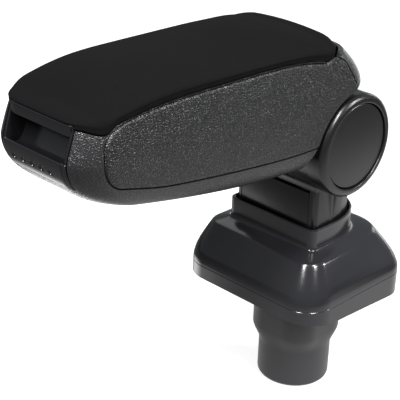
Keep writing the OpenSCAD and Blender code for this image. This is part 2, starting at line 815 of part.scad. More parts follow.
// Lid hinge at the rear: a bracket in the arm, a leaf under the lid and two pins
pin_x = -32;
pin_z = 363;
pin_r = 1.5;
leaf_knuckle_r = 3;
leaf_t = 2;
hinge_side = 20;
hinge_half = arm_w / 2 - hinge_side;
knuckle_w = 14;
knuckle_in = 18;
knuckle_y = hinge_half - knuckle_in;
bracket_front = -50;
bracket_rear = -38;
bracket_top = 352;

module at_pin() { translate([pin_x, 0, pin_z]) children(); }

module lid_hinge_bracket() {
    color("#47484b") difference() {
        union() {
            difference() {
                translate([bracket_front, -hinge_half, hinge_z])
                    cube([bracket_rear - bracket_front, 2 * hinge_half, bracket_top - hinge_z]);
                at_hinge() bar_y(arc_r + shell_wall + seat, -arm_w, arm_w);
            }
            difference() {
                across(hinge_half) hull() {
                    translate([pin_x, pin_z]) circle(leaf_knuckle_r, $fn = small_fn);
                    translate([bracket_rear - leaf_knuckle_r, bracket_top - leaf_knuckle_r]) square(cut);
                    translate([bracket_rear - cut, bracket_top - leaf_knuckle_r]) square(cut);
                }
                for (side = [-1, 1])
                    translate([bracket_front, side * knuckle_y - knuckle_w / 2 - panel_gap, bracket_top])
                        cube([-bracket_front, knuckle_w + 2 * panel_gap, form_h]);
            }
        }
        at_pin() bar_y(pin_r + run, -hinge_half - cut, hinge_half + cut, small_fn);
        across(window_half) knuckle_web(seat);
    }
}

module lid_hinge_pins() {
    color("#a5a7aa") at_pin() for (side = [-1, 1]) translate([0, side * knuckle_y, 0])
        bar_y(pin_r, -knuckle_w, knuckle_w, small_fn);
}

// Lid: moulded plate and the padded top
lid_gap = 1;
// Inset and height of the padded top at each step from its edge to its crown
pad_edge = 12;
crown_shares = [
    [0, 0], [-0.05, 0.14], [-0.02, 0.28], [0.15, 0.46], [0.5, 0.62],
    [1.1, 0.72], [2, 0.82], [3.3, 0.92], [4.6, 0.99]
];

lid_rear_x = -36.6;
lid_rear_r = 24;
lid_front_x = -320;
bar_room = 0.8;
plate_in = 0.5;
// The padded top fills up what the joint line falls at the rear
rear_fill_share = 1.05;
function pad_rise(x, s) =
    s * (pad_h + rear_fill_share * rear_drop * pow(unit((x - crest_x) / rear_reach), drop_power));
function lid_ring(inset, lift) = [
    for (p = both_halves(box_half(lid_front_x + inset, lid_rear_x - inset, form_half(1) - inset,
        max(front_r - inset, seat), max(lid_rear_r - inset, seat))))
        [p[0], p[1] * taper(p[0]), joint_at(p[0]) + lid_gap + lift]
];
// The lid's front edge is stepped up over the release bar
module bar_space() {
    translate([lid_front_x - arm_w, -mouth_half, bar_z])
        cube([arm_w + bar_depth + bar_room, 2 * mouth_half, bar_h + bar_room]);
}

module lid_plate() {
    color("#1d1d1f") difference() {
        loft([lid_ring(plate_in, 0), lid_ring(plate_in, lid_plate_t)]);
        bar_space();
        leaf_screw_shanks(run);
    }
}

module lid_pad() {
    color("#1a1a1b") difference() {
        loft([for (s = crown_shares)
            [for (p = lid_ring(s[0] * pad_edge, lid_plate_t + seat))
                [p[0], p[1], p[2] + pad_rise(p[0], s[1])]]
        ]);
        bar_space();
    }
}

leaf_l = 14;
leaf_in = 3.6;
leaf_rear_x = lid_rear_x - leaf_in;
leaf_top = joint_z - rear_drop + lid_gap;
module lid_hinge_leaf() {
    color("#47484b") difference() {
        union() {
            translate([leaf_rear_x - leaf_l, -hinge_half, leaf_top - leaf_t])
                cube([leaf_l, 2 * hinge_half, leaf_t]);
            for (side = [-1, 1]) translate([0, side * knuckle_y, 0]) {
                at_pin() bar_y(leaf_knuckle_r, -knuckle_w / 2, knuckle_w / 2, small_fn);
                across(knuckle_w / 2) {
                    translate([leaf_rear_x - leaf_t, leaf_top - leaf_t])
                        square([pin_x - leaf_rear_x + leaf_t, leaf_t]);
                    hull() {
                        translate([pin_x, pin_z]) circle(leaf_knuckle_r, $fn = small_fn);
                        translate([pin_x - leaf_t, leaf_top - leaf_t]) square(leaf_t);
                    }
                }
            }
        }
        at_pin() bar_y(pin_r + run, -hinge_half, hinge_half, small_fn);
        leaf_screw_shanks(run);
    }
}

leaf_screw_r = 1.5;
leaf_screw_x = leaf_rear_x - leaf_l / 2;
module leaf_screw_shanks(grow) {
    for (y = [-1, 0, 1] * knuckle_y) translate([leaf_screw_x, y, leaf_top - leaf_t - leaf_screw_r])
        cylinder(r = leaf_screw_r + grow, h = 2 * leaf_t + leaf_screw_r + cut + grow, $fn = small_fn);
}
module leaf_screws() {
    color("#8f9194") {
        leaf_screw_shanks(0);
        for (y = [-1, 0, 1] * knuckle_y) translate([leaf_screw_x, y, leaf_top - leaf_t - leaf_screw_r])
            cylinder(r = 2 * leaf_screw_r, h = leaf_screw_r - seat, $fn = small_fn);
    }
}

// Catch under the lid's front edge, behind the release bar
catch_half = 12;
catch_t = 2.4;
catch_x = -307;
catch_l = 7;
catch_nose = 1.8;
catch_foot = 3;
catch_foot_t = 1.6;
module lid_catch() {
    top = joint_at(catch_x) + lid_gap - seat;
    color("#303033") union() {
        across(catch_half) translate([catch_x - catch_foot / 2, top - catch_foot_t])
            square([catch_t + catch_foot, catch_foot_t]);
        across(catch_half) polygon([
            [catch_x, top - catch_foot_t / 2], [catch_x + catch_t, top - catch_foot_t / 2],
            [catch_x + catch_t, top - catch_l], [catch_x, top - catch_l - catch_nose],
            [catch_x - catch_nose, top - catch_l], [catch_x, top - catch_l + catch_nose]
        ]);
    }
}

// Release bar across the mouth, on two stub pins of its own
bar_half = insert_half - cheek_t - panel_gap;
bar_x = -arm_front + bar_lean;
bar_r = 2;
bar_pin_in = 4;
bar_pin_up = 7.4;
bar_pin_x = bar_x + bar_pin_in;
bar_pin_z = bar_z + bar_pin_up;
bar_pin_r = 1.1;
module release_bar() {
    color("#1f1f21") difference() {
        intersection() {
            across(bar_half) hull() {
                for (x = [bar_r, bar_depth - bar_r], z = [bar_r, bar_h - bar_r])
                    translate([bar_x + x, bar_z + z]) circle(bar_r, $fn = small_fn);
            }
            translate([0, 0, bar_z - cut]) linear_extrude(bar_h + 2 * cut) polygon(form_plan(1, 0));
        }
        // Slot for the spring, open to the rear
        translate([0, spring_y, 0]) across(spring_room) {
            translate([bar_pin_x, bar_pin_z]) circle(spring_r + panel_gap, $fn = small_fn);
            translate([bar_pin_x, bar_pin_z - spring_r - panel_gap])
                square([bar_depth, 2 * (spring_r + panel_gap)]);
        }
    }
    color("#1f1f21") translate([bar_pin_x, 0, bar_pin_z])
        bar_y(bar_pin_r, -insert_half + cut, insert_half - cut, small_fn);
}

// Torsion spring round the bar's right stub pin, its turns drawn as touching rings
spring_wire = 0.4;
spring_turns = 4;
spring_pitch = 0.75;
spring_r = 2.1;
spring_in = 5;
spring_y = bar_half - spring_in;
spring_room = 2.2;
spring_leg = 6;
module bar_spring() {
    color("#a5a7aa") translate([bar_pin_x, spring_y - spring_pitch * (spring_turns - 1) / 2, bar_pin_z]) {
        for (i = [0:spring_turns - 1]) translate([0, i * spring_pitch, 0]) rotate([90, 0, 0])
            rotate_extrude($fn = small_fn) translate([spring_r - spring_wire, 0])
                circle(spring_wire, $fn = corner_steps * 2);
        rotate([0, 90, 0]) translate([spring_r - spring_wire, 0, 0])
            cylinder(r = spring_wire, h = spring_leg, $fn = corner_steps * 2);
    }
}

cup_plug();
mounting_plate();
plug_screws();
post_tube();
base_cover();
cover_screws();
hinge_post();
post_front_panel();
tube_bolts();
pivot_shaft();
shaft_nut();
shaft_washers();
right_cap_ring();
left_cap_ring();
right_cap_disc();
left_cap_disc();
arm_knuckle();
right_bush();
left_bush();
knuckle_screws();
arm_shell();
right_side_panel();
left_side_panel();
front_insert();
storage_tray();
lid_hinge_bracket();
lid_hinge_pins();
lid_plate();
lid_pad();
lid_hinge_leaf();
leaf_screws();
lid_catch();
release_bar();
bar_spring();
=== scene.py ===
import math

import bmesh
import bpy
import numpy as np
from mathutils import Matrix, Vector


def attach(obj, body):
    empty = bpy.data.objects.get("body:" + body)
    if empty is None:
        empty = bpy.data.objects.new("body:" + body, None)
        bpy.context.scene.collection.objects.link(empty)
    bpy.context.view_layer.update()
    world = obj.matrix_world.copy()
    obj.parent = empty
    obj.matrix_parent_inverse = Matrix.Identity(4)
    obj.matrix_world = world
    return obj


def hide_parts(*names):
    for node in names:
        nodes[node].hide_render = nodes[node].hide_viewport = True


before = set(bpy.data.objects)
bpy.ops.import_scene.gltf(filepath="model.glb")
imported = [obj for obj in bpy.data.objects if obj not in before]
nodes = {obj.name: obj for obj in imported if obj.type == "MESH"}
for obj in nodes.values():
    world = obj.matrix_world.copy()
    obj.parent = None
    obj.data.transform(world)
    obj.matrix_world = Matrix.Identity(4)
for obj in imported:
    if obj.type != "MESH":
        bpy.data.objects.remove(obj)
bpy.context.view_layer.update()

# Studio: a pale floor under the standing armrest, five soft boxes round it and a long lens.
# The backdrop is a plain white world; the floor glows to the same white and keeps the shadow.
scene = bpy.context.scene
scene.view_settings.view_transform = "Standard"

camera_place = Vector((-0.846401, -0.674284, 0.699336))
camera_right = Vector((0.703309, -0.710217, 0.030801))
camera_up = Vector((0.285378, 0.321755, 0.902792))
camera_back = camera_right.cross(camera_up)
camera_data = bpy.data.cameras.new("photo_camera")
camera_data.sensor_width = 36.0
camera_data.lens = 111.23
camera_data.clip_start = 0.05
camera_data.clip_end = 30.0
camera = bpy.data.objects.new("photo_camera", camera_data)
scene.collection.objects.link(camera)
turn = Matrix((camera_right, camera_up, camera_back)).transposed().to_4x4()
camera.matrix_world = Matrix.Translation(camera_place) @ turn
scene.camera = camera

world = bpy.data.worlds.new("studio_world")
world.use_nodes = True
scene.world = world
world_nodes = world.node_tree.nodes
world_links = world.node_tree.links
world_nodes.clear()
world_out = world_nodes.new("ShaderNodeOutputWorld")
room_light = world_nodes.new("ShaderNodeBackground")
room_light.inputs["Color"].default_value = (0.94, 0.97, 1.0, 1.0)
room_light.inputs["Strength"].default_value = 0.3
backdrop = world_nodes.new("ShaderNodeBackground")
backdrop.inputs["Color"].default_value = (1.0, 1.0, 1.0, 1.0)
backdrop.inputs["Strength"].default_value = 1.0
seen = world_nodes.new("ShaderNodeLightPath")
world_mix = world_nodes.new("ShaderNodeMixShader")
world_links.new(seen.outputs["Is Camera Ray"], world_mix.inputs["Fac"])
world_links.new(room_light.outputs["Background"], world_mix.inputs[1])
world_links.new(backdrop.outputs["Background"], world_mix.inputs[2])
world_links.new(world_mix.outputs["Shader"], world_out.inputs["Surface"])


def soft_box(name, place, aim, width, height, watts):
    lamp = bpy.data.lights.new(name, "AREA")
    lamp.shape = "RECTANGLE"
    lamp.size = width
    lamp.size_y = height
    lamp.energy = watts
    lamp_object = bpy.data.objects.new(name, lamp)
    scene.collection.objects.link(lamp_object)
    lamp_object.location = place
    lamp_object.rotation_euler = (Vector(aim) - Vector(place)).to_track_quat("-Z", "Y").to_euler()


cover_middle = (-0.1, 0.0, 0.2)
arm_middle = (-0.1, 0.0, 0.3)
lid_rear_edge = (-0.02, 0.0, 0.34)
soft_box("left_strip", (-1.28, -0.27, 1.61), cover_middle, width=0.28, height=0.95, watts=56.0)
soft_box("right_strip", (-0.34, -1.27, 1.61), cover_middle, width=0.26, height=0.95, watts=52.0)
soft_box("rear_soft_box", (0.9, 1.2, 1.7), arm_middle, width=1.4, height=1.0, watts=5.0)
soft_box("rim_box", (1.9, 0.25, 0.6), lid_rear_edge, width=0.6, height=0.6, watts=3.0)
soft_box("side_strip", (1.0, -1.28, 0.95), arm_middle, width=0.18, height=0.5, watts=16.0)

floor_half, floor_z = 6.0, -0.0005
floor_seen_shade, floor_gloss_shade, floor_seen_glow = 0.5, 0.11, 0.72
floor_data = bpy.data.meshes.new("studio_floor")
floor_corners = [(floor_half * a, floor_half * b, floor_z) for a, b in ((-1, -1), (1, -1), (1, 1), (-1, 1))]
floor_data.from_pydata(floor_corners, [], [(0, 1, 2, 3)])
studio_floor = bpy.data.objects.new("studio_floor", floor_data)
scene.collection.objects.link(studio_floor)
floor_paint = bpy.data.materials.new("studio_floor_paint")
floor_paint.use_nodes = True
paint_nodes = floor_paint.node_tree.nodes
paint_links = floor_paint.node_tree.links
paint_nodes.clear()
paint_out = paint_nodes.new("ShaderNodeOutputMaterial")
paint = paint_nodes.new("ShaderNodeBsdfDiffuse")
paint_shade = paint_nodes.new("ShaderNodeMapRange")
paint_shade.inputs["To Min"].default_value = floor_gloss_shade
paint_shade.inputs["To Max"].default_value = floor_seen_shade
paint_links.new(paint_shade.outputs["Result"], paint.inputs["Color"])
glow = paint_nodes.new("ShaderNodeEmission")
paint_path = paint_nodes.new("ShaderNodeLightPath")
paint_sum = paint_nodes.new("ShaderNodeAddShader")
paint_links.new(paint_path.outputs["Is Camera Ray"], paint_shade.inputs["Value"])
# Painted reflections: glossy rays alone see three glowing patches of floor, round the stand, past the arm's
# far side and far behind. Each fades away from its near radius to its far one. The camera sees plain white.
floor_place = paint_nodes.new("ShaderNodeNewGeometry")
painted_reflection_spots = (((0.12, -0.18, 0.0), 0.1, 0.74, 0.9), ((-0.15, 0.3, 0.0), 0.02, 0.19, 3.8),
                 ((1.5, 0.8, 0.0), 0.4, 1.3, 3.0))
painted_reflections = None
for middle, near, far, power in painted_reflection_spots:
    patch_reach = paint_nodes.new("ShaderNodeVectorMath")
    patch_reach.operation = "DISTANCE"
    patch_reach.inputs[1].default_value = middle
    paint_links.new(floor_place.outputs["Position"], patch_reach.inputs[0])
    painted_reflection_glow = paint_nodes.new("ShaderNodeMapRange")
    painted_reflection_glow.interpolation_type = "SMOOTHSTEP"
    painted_reflection_glow.inputs["From Min"].default_value = near
    painted_reflection_glow.inputs["From Max"].default_value = far
    painted_reflection_glow.inputs["To Min"].default_value = power
    painted_reflection_glow.inputs["To Max"].default_value = 0.0
    paint_links.new(patch_reach.outputs["Value"], painted_reflection_glow.inputs["Value"])
    patch_sum = paint_nodes.new("ShaderNodeMath")
    patch_sum.inputs[1].default_value = 0.0
    paint_links.new(painted_reflection_glow.outputs["Result"], patch_sum.inputs[0])
    if painted_reflections:
        paint_links.new(painted_reflections, patch_sum.inputs[1])
    painted_reflections = patch_sum.outputs["Value"]
# The painted reflection glow reaches the floor's emission only on glossy rays.
painted_gloss_glow = paint_nodes.new("ShaderNodeMath")
painted_gloss_glow.operation = "MULTIPLY"
paint_links.new(painted_reflections, painted_gloss_glow.inputs[0])
paint_links.new(paint_path.outputs["Is Glossy Ray"], painted_gloss_glow.inputs[1])
glow_power = paint_nodes.new("ShaderNodeMath")
glow_power.operation = "MULTIPLY_ADD"
glow_power.inputs[1].default_value = floor_seen_glow
paint_links.new(paint_path.outputs["Is Camera Ray"], glow_power.inputs[0])
paint_links.new(painted_gloss_glow.outputs["Value"], glow_power.inputs[2])
paint_links.new(glow_power.outputs["Value"], glow.inputs["Strength"])
paint_links.new(paint.outputs["BSDF"], paint_sum.inputs[0])
paint_links.new(glow.outputs["Emission"], paint_sum.inputs[1])
paint_links.new(paint_sum.outputs["Shader"], paint_out.inputs["Surface"])
floor_data.materials.append(floor_paint)

# Cup plug: a round satin moulding that grows into a squared shoulder under the skirt.
# It drops into the car's cup holder and carries the whole armrest on its flat foot.
MM = 0.001


def mesh_piece(name, points, faces, sharp_deg=32.0):
    data = bpy.data.meshes.new(name)
    data.from_pydata([tuple(MM * c for c in p) for p in points], [], faces)
    work = bmesh.new()
    work.from_mesh(data)
    bmesh.ops.remove_doubles(work, verts=work.verts, dist=1e-6)
    bmesh.ops.recalc_face_normals(work, faces=work.faces)
    work.to_mesh(data)
    work.free()
    piece = bpy.data.objects.new(name, data)
    scene.collection.objects.link(piece)
    soften(piece, sharp_deg)
    return piece


def soften(piece, sharp_deg=32.0):
    piece.data.polygons.foreach_set("use_smooth", [True] * len(piece.data.polygons))
    piece.data.set_sharp_from_angle(angle=math.radians(sharp_deg))


def ring_sides(levels, count):
    """Faces between rings of points, each ring closed on itself."""
    faces = []
    for k in range(levels - 1):
        for i in range(count):
            j = (i + 1) % count
            faces.append((k * count + i, k * count + j, (k + 1) * count + j, (k + 1) * count + i))
    return faces


def finish_piece(piece, body, slot, material, *stands_for):
    piece.data.materials.clear()
    piece.data.materials.append(material)
    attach(piece, body)
    if stands_for:
        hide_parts(*stands_for)
    return piece


def new_group(name, inputs, outputs):
    group = bpy.data.node_groups.new(name, "ShaderNodeTree")
    for label, kind, value in inputs:
        made = group.interface.new_socket(name=label, in_out="INPUT", socket_type=kind)
        if value is not None:
            made.default_value = value
    for label, kind in outputs:
        group.interface.new_socket(name=label, in_out="OUTPUT", socket_type=kind)
    return group, group.nodes.new("NodeGroupInput"), group.nodes.new("NodeGroupOutput")


def math_node(tree, operation, first, second=None, third=None):
    node = tree.nodes.new("ShaderNodeMath")
    node.operation = operation
    for k, value in enumerate((first, second, third)):
        if value is None:
            continue
        if isinstance(value, (int, float)):
            node.inputs[k].default_value = value
        else:
            tree.links.new(value, node.inputs[k])
    return node.outputs["Value"]


def noise_node(tree, vector, scale, detail=3.0):
    node = tree.nodes.new("ShaderNodeTexNoise")
    node.inputs["Detail"].default_value = detail
    node.inputs["Roughness"].default_value = 0.55
    tree.links.new(vector, node.inputs["Vector"])
    if isinstance(scale, (int, float)):
        node.inputs["Scale"].default_value = scale
    else:
        tree.links.new(scale, node.inputs["Scale"])
    return node.outputs["Fac"]


def shaded(tree, color, factor):
    node = tree.nodes.new("ShaderNodeVectorMath")
    node.operation = "SCALE"
    tree.links.new(color, node.inputs[0])
    tree.links.new(factor, node.inputs["Scale"])
    return node.outputs["Vector"]


# Spark-eroded mould skin: a very fine even stipple with faint broad unevenness in gloss.
skin_group, skin_in, skin_out = new_group(
    "mould_skin",
    [("Vector", "NodeSocketVector", None), ("Color", "NodeSocketColor", (0.1, 0.1, 0.1, 1.0)),
     ("Stipple Scale", "NodeSocketFloat", 1800.0), ("Roughness", "NodeSocketFloat", 0.4),
     ("Unevenness", "NodeSocketFloat", 0.12)],
    [("Color", "NodeSocketColor"), ("Roughness", "NodeSocketFloat"), ("Height", "NodeSocketFloat")])
skin_fine = noise_node(skin_group, skin_in.outputs["Vector"], skin_in.outputs["Stipple Scale"], detail=2.0)
skin_broad = noise_node(skin_group, skin_in.outputs["Vector"], scale=18.0, detail=4.0)
skin_shift = math_node(skin_group, "SUBTRACT", skin_broad, 0.5)
skin_tone = math_node(skin_group, "MULTIPLY_ADD", skin_shift, skin_in.outputs["Unevenness"], 1.0)
skin_group.links.new(shaded(skin_group, skin_in.outputs["Color"], skin_tone), skin_out.inputs["Color"])
skin_spread = math_node(skin_group, "MULTIPLY", skin_shift, skin_in.outputs["Unevenness"])
skin_group.links.new(
    math_node(skin_group, "ADD", skin_in.outputs["Roughness"], skin_spread), skin_out.inputs["Roughness"])
skin_group.links.new(skin_fine, skin_out.inputs["Height"])


def new_material(name):
    material = bpy.data.materials.new(name)
    material.use_nodes = True
    tree = material.node_tree
    tree.nodes.clear()
    out = tree.nodes.new("ShaderNodeOutputMaterial")
    shader = tree.nodes.new("ShaderNodeBsdfPrincipled")
    tree.links.new(shader.outputs["BSDF"], out.inputs["Surface"])
    place = tree.nodes.new("ShaderNodeTexCoord")
    return material, tree, shader, place.outputs["Object"]


def group_node(tree, group, vector, **values):
    node = tree.nodes.new("ShaderNodeGroup")
    node.node_tree = group
    tree.links.new(vector, node.inputs["Vector"])
    for label, value in values.items():
        node.inputs[label.replace("_", " ")].default_value = value
    return node


def bump_into(tree, shader, height, strength, distance):
    bump = tree.nodes.new("ShaderNodeBump")
    bump.inputs["Strength"].default_value = strength
    bump.inputs["Distance"].default_value = distance
    tree.links.new(height, bump.inputs["Height"])
    tree.links.new(bump.outputs["Normal"], shader.inputs["Normal"])


def moulded_plastic(name, color, roughness, stipple=1800.0, unevenness=0.12, bump=0.25):
    material, tree, shader, place = new_material(name)
    skin = group_node(tree, skin_group, place, Color=(*color, 1.0), Roughness=roughness,
                      Stipple_Scale=stipple, Unevenness=unevenness)
    tree.links.new(skin.outputs["Color"], shader.inputs["Base Color"])
    tree.links.new(skin.outputs["Roughness"], shader.inputs["Roughness"])
    bump_into(tree, shader, skin.outputs["Height"], bump, distance=0.0002)
    return material


plug_plastic = moulded_plastic("plug_plastic", (0.024, 0.024, 0.026), roughness=0.4)
plug_r, plug_top, plug_foot_r, plug_turns = 36.0, 122.0, 5.0, 128
shoulder_half, shoulder_r, shoulder_z, shoulder_rise = 37.5, 24.0, 38.0, 20.0


def squared_radius(angle):
    """Distance from the middle to a square with rounded corners."""
    a = abs((angle + math.pi / 4) % (math.pi / 2) - math.pi / 4)
    centre = shoulder_half - shoulder_r
    reach = shoulder_half / math.cos(a)
    if reach * math.sin(a) <= centre:
        return reach
    return centre * (math.cos(a) + math.sin(a)) + math.sqrt(
        shoulder_r ** 2 - centre ** 2 * (1 - math.sin(2 * a)))


def ease(t):
    t = min(1.0, max(0.0, t))
    return t * t * (3 - 2 * t)


# Each level is a height and a step in from the plug's outline.
plug_levels = [(0.0, 8.0), (0.0, 4.5)]
plug_levels += [(plug_foot_r * (1 - math.cos(a)), plug_foot_r * (1 - math.sin(a)))
                for a in np.linspace(0.2, math.pi / 2, 9)]
plug_levels += [(z, 0.0) for z in (15, 25, 34, *np.linspace(37, 60, 16), 80, 100, plug_top - 1.2)]
plug_levels += [(plug_top - 0.4, 0.3), (plug_top, 1.0), (plug_top, 8.0)]
plug_points = []
for z, inset in plug_levels:
    for i in range(plug_turns):
        a = 2 * math.pi * i / plug_turns
        r = plug_r + (squared_radius(a) - plug_r) * ease((z - shoulder_z) / shoulder_rise) - inset
        plug_points.append((r * math.cos(a), r * math.sin(a), z))
plug_faces = ring_sides(len(plug_levels), plug_turns)
plug_faces.append(tuple(range(plug_turns))[::-1])
plug_faces.append(tuple(range(len(plug_points) - plug_turns, len(plug_points))))
cup_plug = mesh_piece("cup_plug_moulding", plug_points, plug_faces)
finish_piece(cup_plug, "base", "plug_plastic", plug_plastic, "cup_plug")

# Steel frame: a painted plate and a square tube, held together and to the plug by screws.
# All of it hides in the base cover; the zinc-plated screw heads stay bare metal.
def metal(name, color, roughness, brush=(40.0, 40.0, 900.0), metallic=1.0):
    """Metal with streaks in its gloss, stretched by brush, and a blotchy tone."""
    material, tree, shader, place = new_material(name)
    stretch = tree.nodes.new("ShaderNodeVectorMath")
    stretch.operation = "MULTIPLY"
    tree.links.new(place, stretch.inputs[0])
    stretch.inputs[1].default_value = brush
    streaks = noise_node(tree, stretch.outputs["Vector"], scale=1.0, detail=4.0)
    tint = tree.nodes.new("ShaderNodeMapRange")
    tint.inputs["To Min"].default_value = roughness - 0.07
    tint.inputs["To Max"].default_value = roughness + 0.09
    tree.links.new(streaks, tint.inputs["Value"])
    tree.links.new(tint.outputs["Result"], shader.inputs["Roughness"])
    tone = tree.nodes.new("ShaderNodeMapRange")
    tone.inputs["To Min"].default_value = 0.82
    tone.inputs["To Max"].default_value = 1.1
    tree.links.new(noise_node(tree, place, scale=60.0), tone.inputs["Value"])
    paint_color = tree.nodes.new("ShaderNodeRGB")
    paint_color.outputs[0].default_value = (*color, 1.0)
    tree.links.new(shaded(tree, paint_color.outputs[0], tone.outputs["Result"]), shader.inputs["Base Color"])
    shader.inputs["Metallic"].default_value = metallic
    bump_into(tree, shader, streaks, strength=0.12, distance=0.0002)
    return material


def dress(node, material):
    nodes[node].data.materials.clear()
    nodes[node].data.materials.append(material)


frame_steel = metal("frame_steel", (0.035, 0.035, 0.037), roughness=0.45, metallic=0.0)
zinc_steel = metal("zinc_steel", (0.55, 0.56, 0.57), roughness=0.3)
for name in ("mounting_plate", "post_tube", "lid_hinge_leaf"):
    dress(name, frame_steel)
for name in ("plug_screws", "cover_screws", "tube_bolts", "pivot_shaft", "shaft_nut", "shaft_washers",
             "knuckle_screws", "lid_hinge_pins", "leaf_screws", "bar_spring"):
    dress(name, zinc_steel)

# Base cover: one glossy-satin moulding, an upright band, a slope that swells up in a hollow
# curve and a collar round the post's foot. Screws from below hold it to the steel plate.
cover_plastic = moulded_plastic("cover_plastic", (0.012, 0.012, 0.014), roughness=0.17, stipple=1500.0,
                                unevenness=0.08, bump=0.1)
skirt_front, skirt_rear, skirt_half, skirt_r, skirt_flat = 83.6, 67.6, 82.9, 29.4, 26.0
skirt_z, skirt_drop, skirt_sink, band_z, collar_root, collar_z = 114.5, 5.0, 5.5, 127.5, 175.0, 193.2
seam_depth, seam_half = 0.45, 0.45
collar_front, collar_half, collar_back, collar_corner, collar_flat = 49.8, 53.0, 66.0, 7.0, 28.0
widest_x, rear_power = -28.0, 2.5
cover_wall, collar_round, inner_step = 2.4, 0.8, 0.3
corner_steps, side_steps = 22, 34


def spread(points, count):
    points = np.array(points, float)
    steps = np.r_[0.0, np.cumsum(np.linalg.norm(np.diff(points, axis=0), axis=1))]
    at = np.linspace(0, steps[-1], count)
    return np.c_[np.interp(at, steps, points[:, 0]), np.interp(at, steps, points[:, 1])]


def arc(cx, cy, r, start, stop, steps=16):
    return [(cx + r * math.cos(a), cy + r * math.sin(a)) for a in np.radians(np.linspace(start, stop, steps))]


def skirt_half_plan(inset):
    r = max(skirt_r - inset, 0.5)
    half = skirt_half - inset
    front, rear = -skirt_front + inset, skirt_rear - inset
    corner_a = arc(front + r, r - half, r, 180, 270, corner_steps)
    side = [(x, -half) for x in np.linspace(front + r, rear - r, side_steps)[1:-1]]
    corner_b = arc(rear - r, r - half, r, 270, 360, corner_steps)
    tail = [(rear, -skirt_flat), (rear, 0.0)]
    return [(front, 0.0), (front, -skirt_flat)] + corner_a + side + corner_b + tail


def collar_half_plan(inset):
    """Square in front and rounded behind, with as many points as the skirt's plan."""
    half, back = collar_half - inset, collar_back - inset
    front = -(collar_front - inset)
    corner = arc(front + collar_corner, collar_corner - half, collar_corner, 180, 270, corner_steps)
    rest = []
    for a in np.linspace(0.02, math.pi / 2, side_steps + corner_steps)[:-1]:
        rest.append((widest_x + back * math.sin(a) ** (2 / rear_power),
                     -half * math.cos(a) ** (2 / rear_power)))
    return [(front, 0.0), (front, -collar_flat)] + corner + rest + [(widest_x + back, 0.0)]


def mirrored(half):
    return list(half) + [(x, -y) for x, y in half[-2:0:-1]]


def blend_plans(share, inset):
    skirt, collar = np.array(skirt_half_plan(inset)), np.array(collar_half_plan(inset))
    return skirt + (collar - skirt) * share


slope_height_shares = [0, 0.05, 0.12, 0.26, 0.39, 0.51, 0.64, 0.77, 0.85, 0.885, 0.9, 0.905, 0.92, 0.955, 1]
slope_plan_shares = [0, 0.002, 0.012, 0.065, 0.14, 0.225, 0.325, 0.43, 0.5, 0.57, 0.68, 0.83, 0.93, 0.985, 1]
slope_steps, slope_smooth, slope_sharp_foot, slope_sharp_top = 121, 7, 9, 3


def unit(s):
    return min(1.0, max(0.0, s))


def hem_at(x):
    """How far the skirt's lower edge hangs down, more toward the rear."""
    return (skirt_drop * ease((x + skirt_front) / (skirt_front - skirt_r))
            + skirt_sink * unit((x + skirt_r) / (skirt_rear + skirt_r)))


def cover_wall_rings(inset, bottom, top, seam=0.0):
    """One face of the cover's wall, as rings from its lower edge up to the collar."""
    rings = []

    def ring(z, share, hem=0.0, deeper=0.0):
        whole = mirrored([tuple(p) for p in blend_plans(share, inset + deeper)])
        return [(x, y, z - hem * hem_at(x)) for x, y in whole]

    band_top = band_z - inset - seam_half
    for s in np.linspace(0, 1, 9):
        rings.append(ring(bottom + (band_top - bottom) * s, 0.0, 1.0 - s))
    rings.append(ring(band_z - inset, 0.0, 0.0, seam))
    heights = np.linspace(0, 1, slope_steps)
    shares = np.interp(heights, slope_height_shares, slope_plan_shares)
    even = np.ones(slope_smooth)
    padded_shares = np.pad(shares, slope_smooth - 1, mode="edge")
    smoothed = np.convolve(padded_shares, np.convolve(even, even) / slope_smooth ** 2, mode="valid")
    shares[slope_sharp_foot:-slope_sharp_top] = smoothed[slope_sharp_foot:-slope_sharp_top]
    low = band_z - inset + seam_half
    for s, share in zip(heights, shares):
        rings.append(ring(low + (collar_root - inset - low) * s, share))
    for z in np.linspace(collar_root, top, 8)[1:]:
        rings.append(ring(z, 1.0))
    return rings


outer_rings = cover_wall_rings(0.0, skirt_z, collar_z - collar_round, seam_depth)
rim_rings = [[(x, y, collar_z) for x, y in mirrored([tuple(p) for p in blend_plans(1.0, inset)])]
             for inset in (collar_round, cover_wall - collar_round)]
inner_rings = cover_wall_rings(cover_wall, skirt_z + inner_step, collar_z - collar_round)[::-1]
cover_rings = outer_rings + rim_rings + inner_rings
ring_count = len(cover_rings[0])
cover_faces = ring_sides(len(cover_rings), ring_count)
last = (len(cover_rings) - 1) * ring_count
cover_faces += [(last + i, last + (i + 1) % ring_count, (i + 1) % ring_count, i) for i in range(ring_count)]
base_cover = mesh_piece("base_cover_moulding", [p for ring in cover_rings for p in ring], cover_faces, 40)
finish_piece(base_cover, "base", "cover_plastic", cover_plastic, "base_cover")

# Post: the satin upright between base cover and hinge, with the hinge's two round cheeks.
# It slides over the steel tube and is bolted through; a flat front panel hides the bolts.
post_plastic = moulded_plastic("post_plastic", (0.004, 0.004, 0.0045), roughness=0.3)


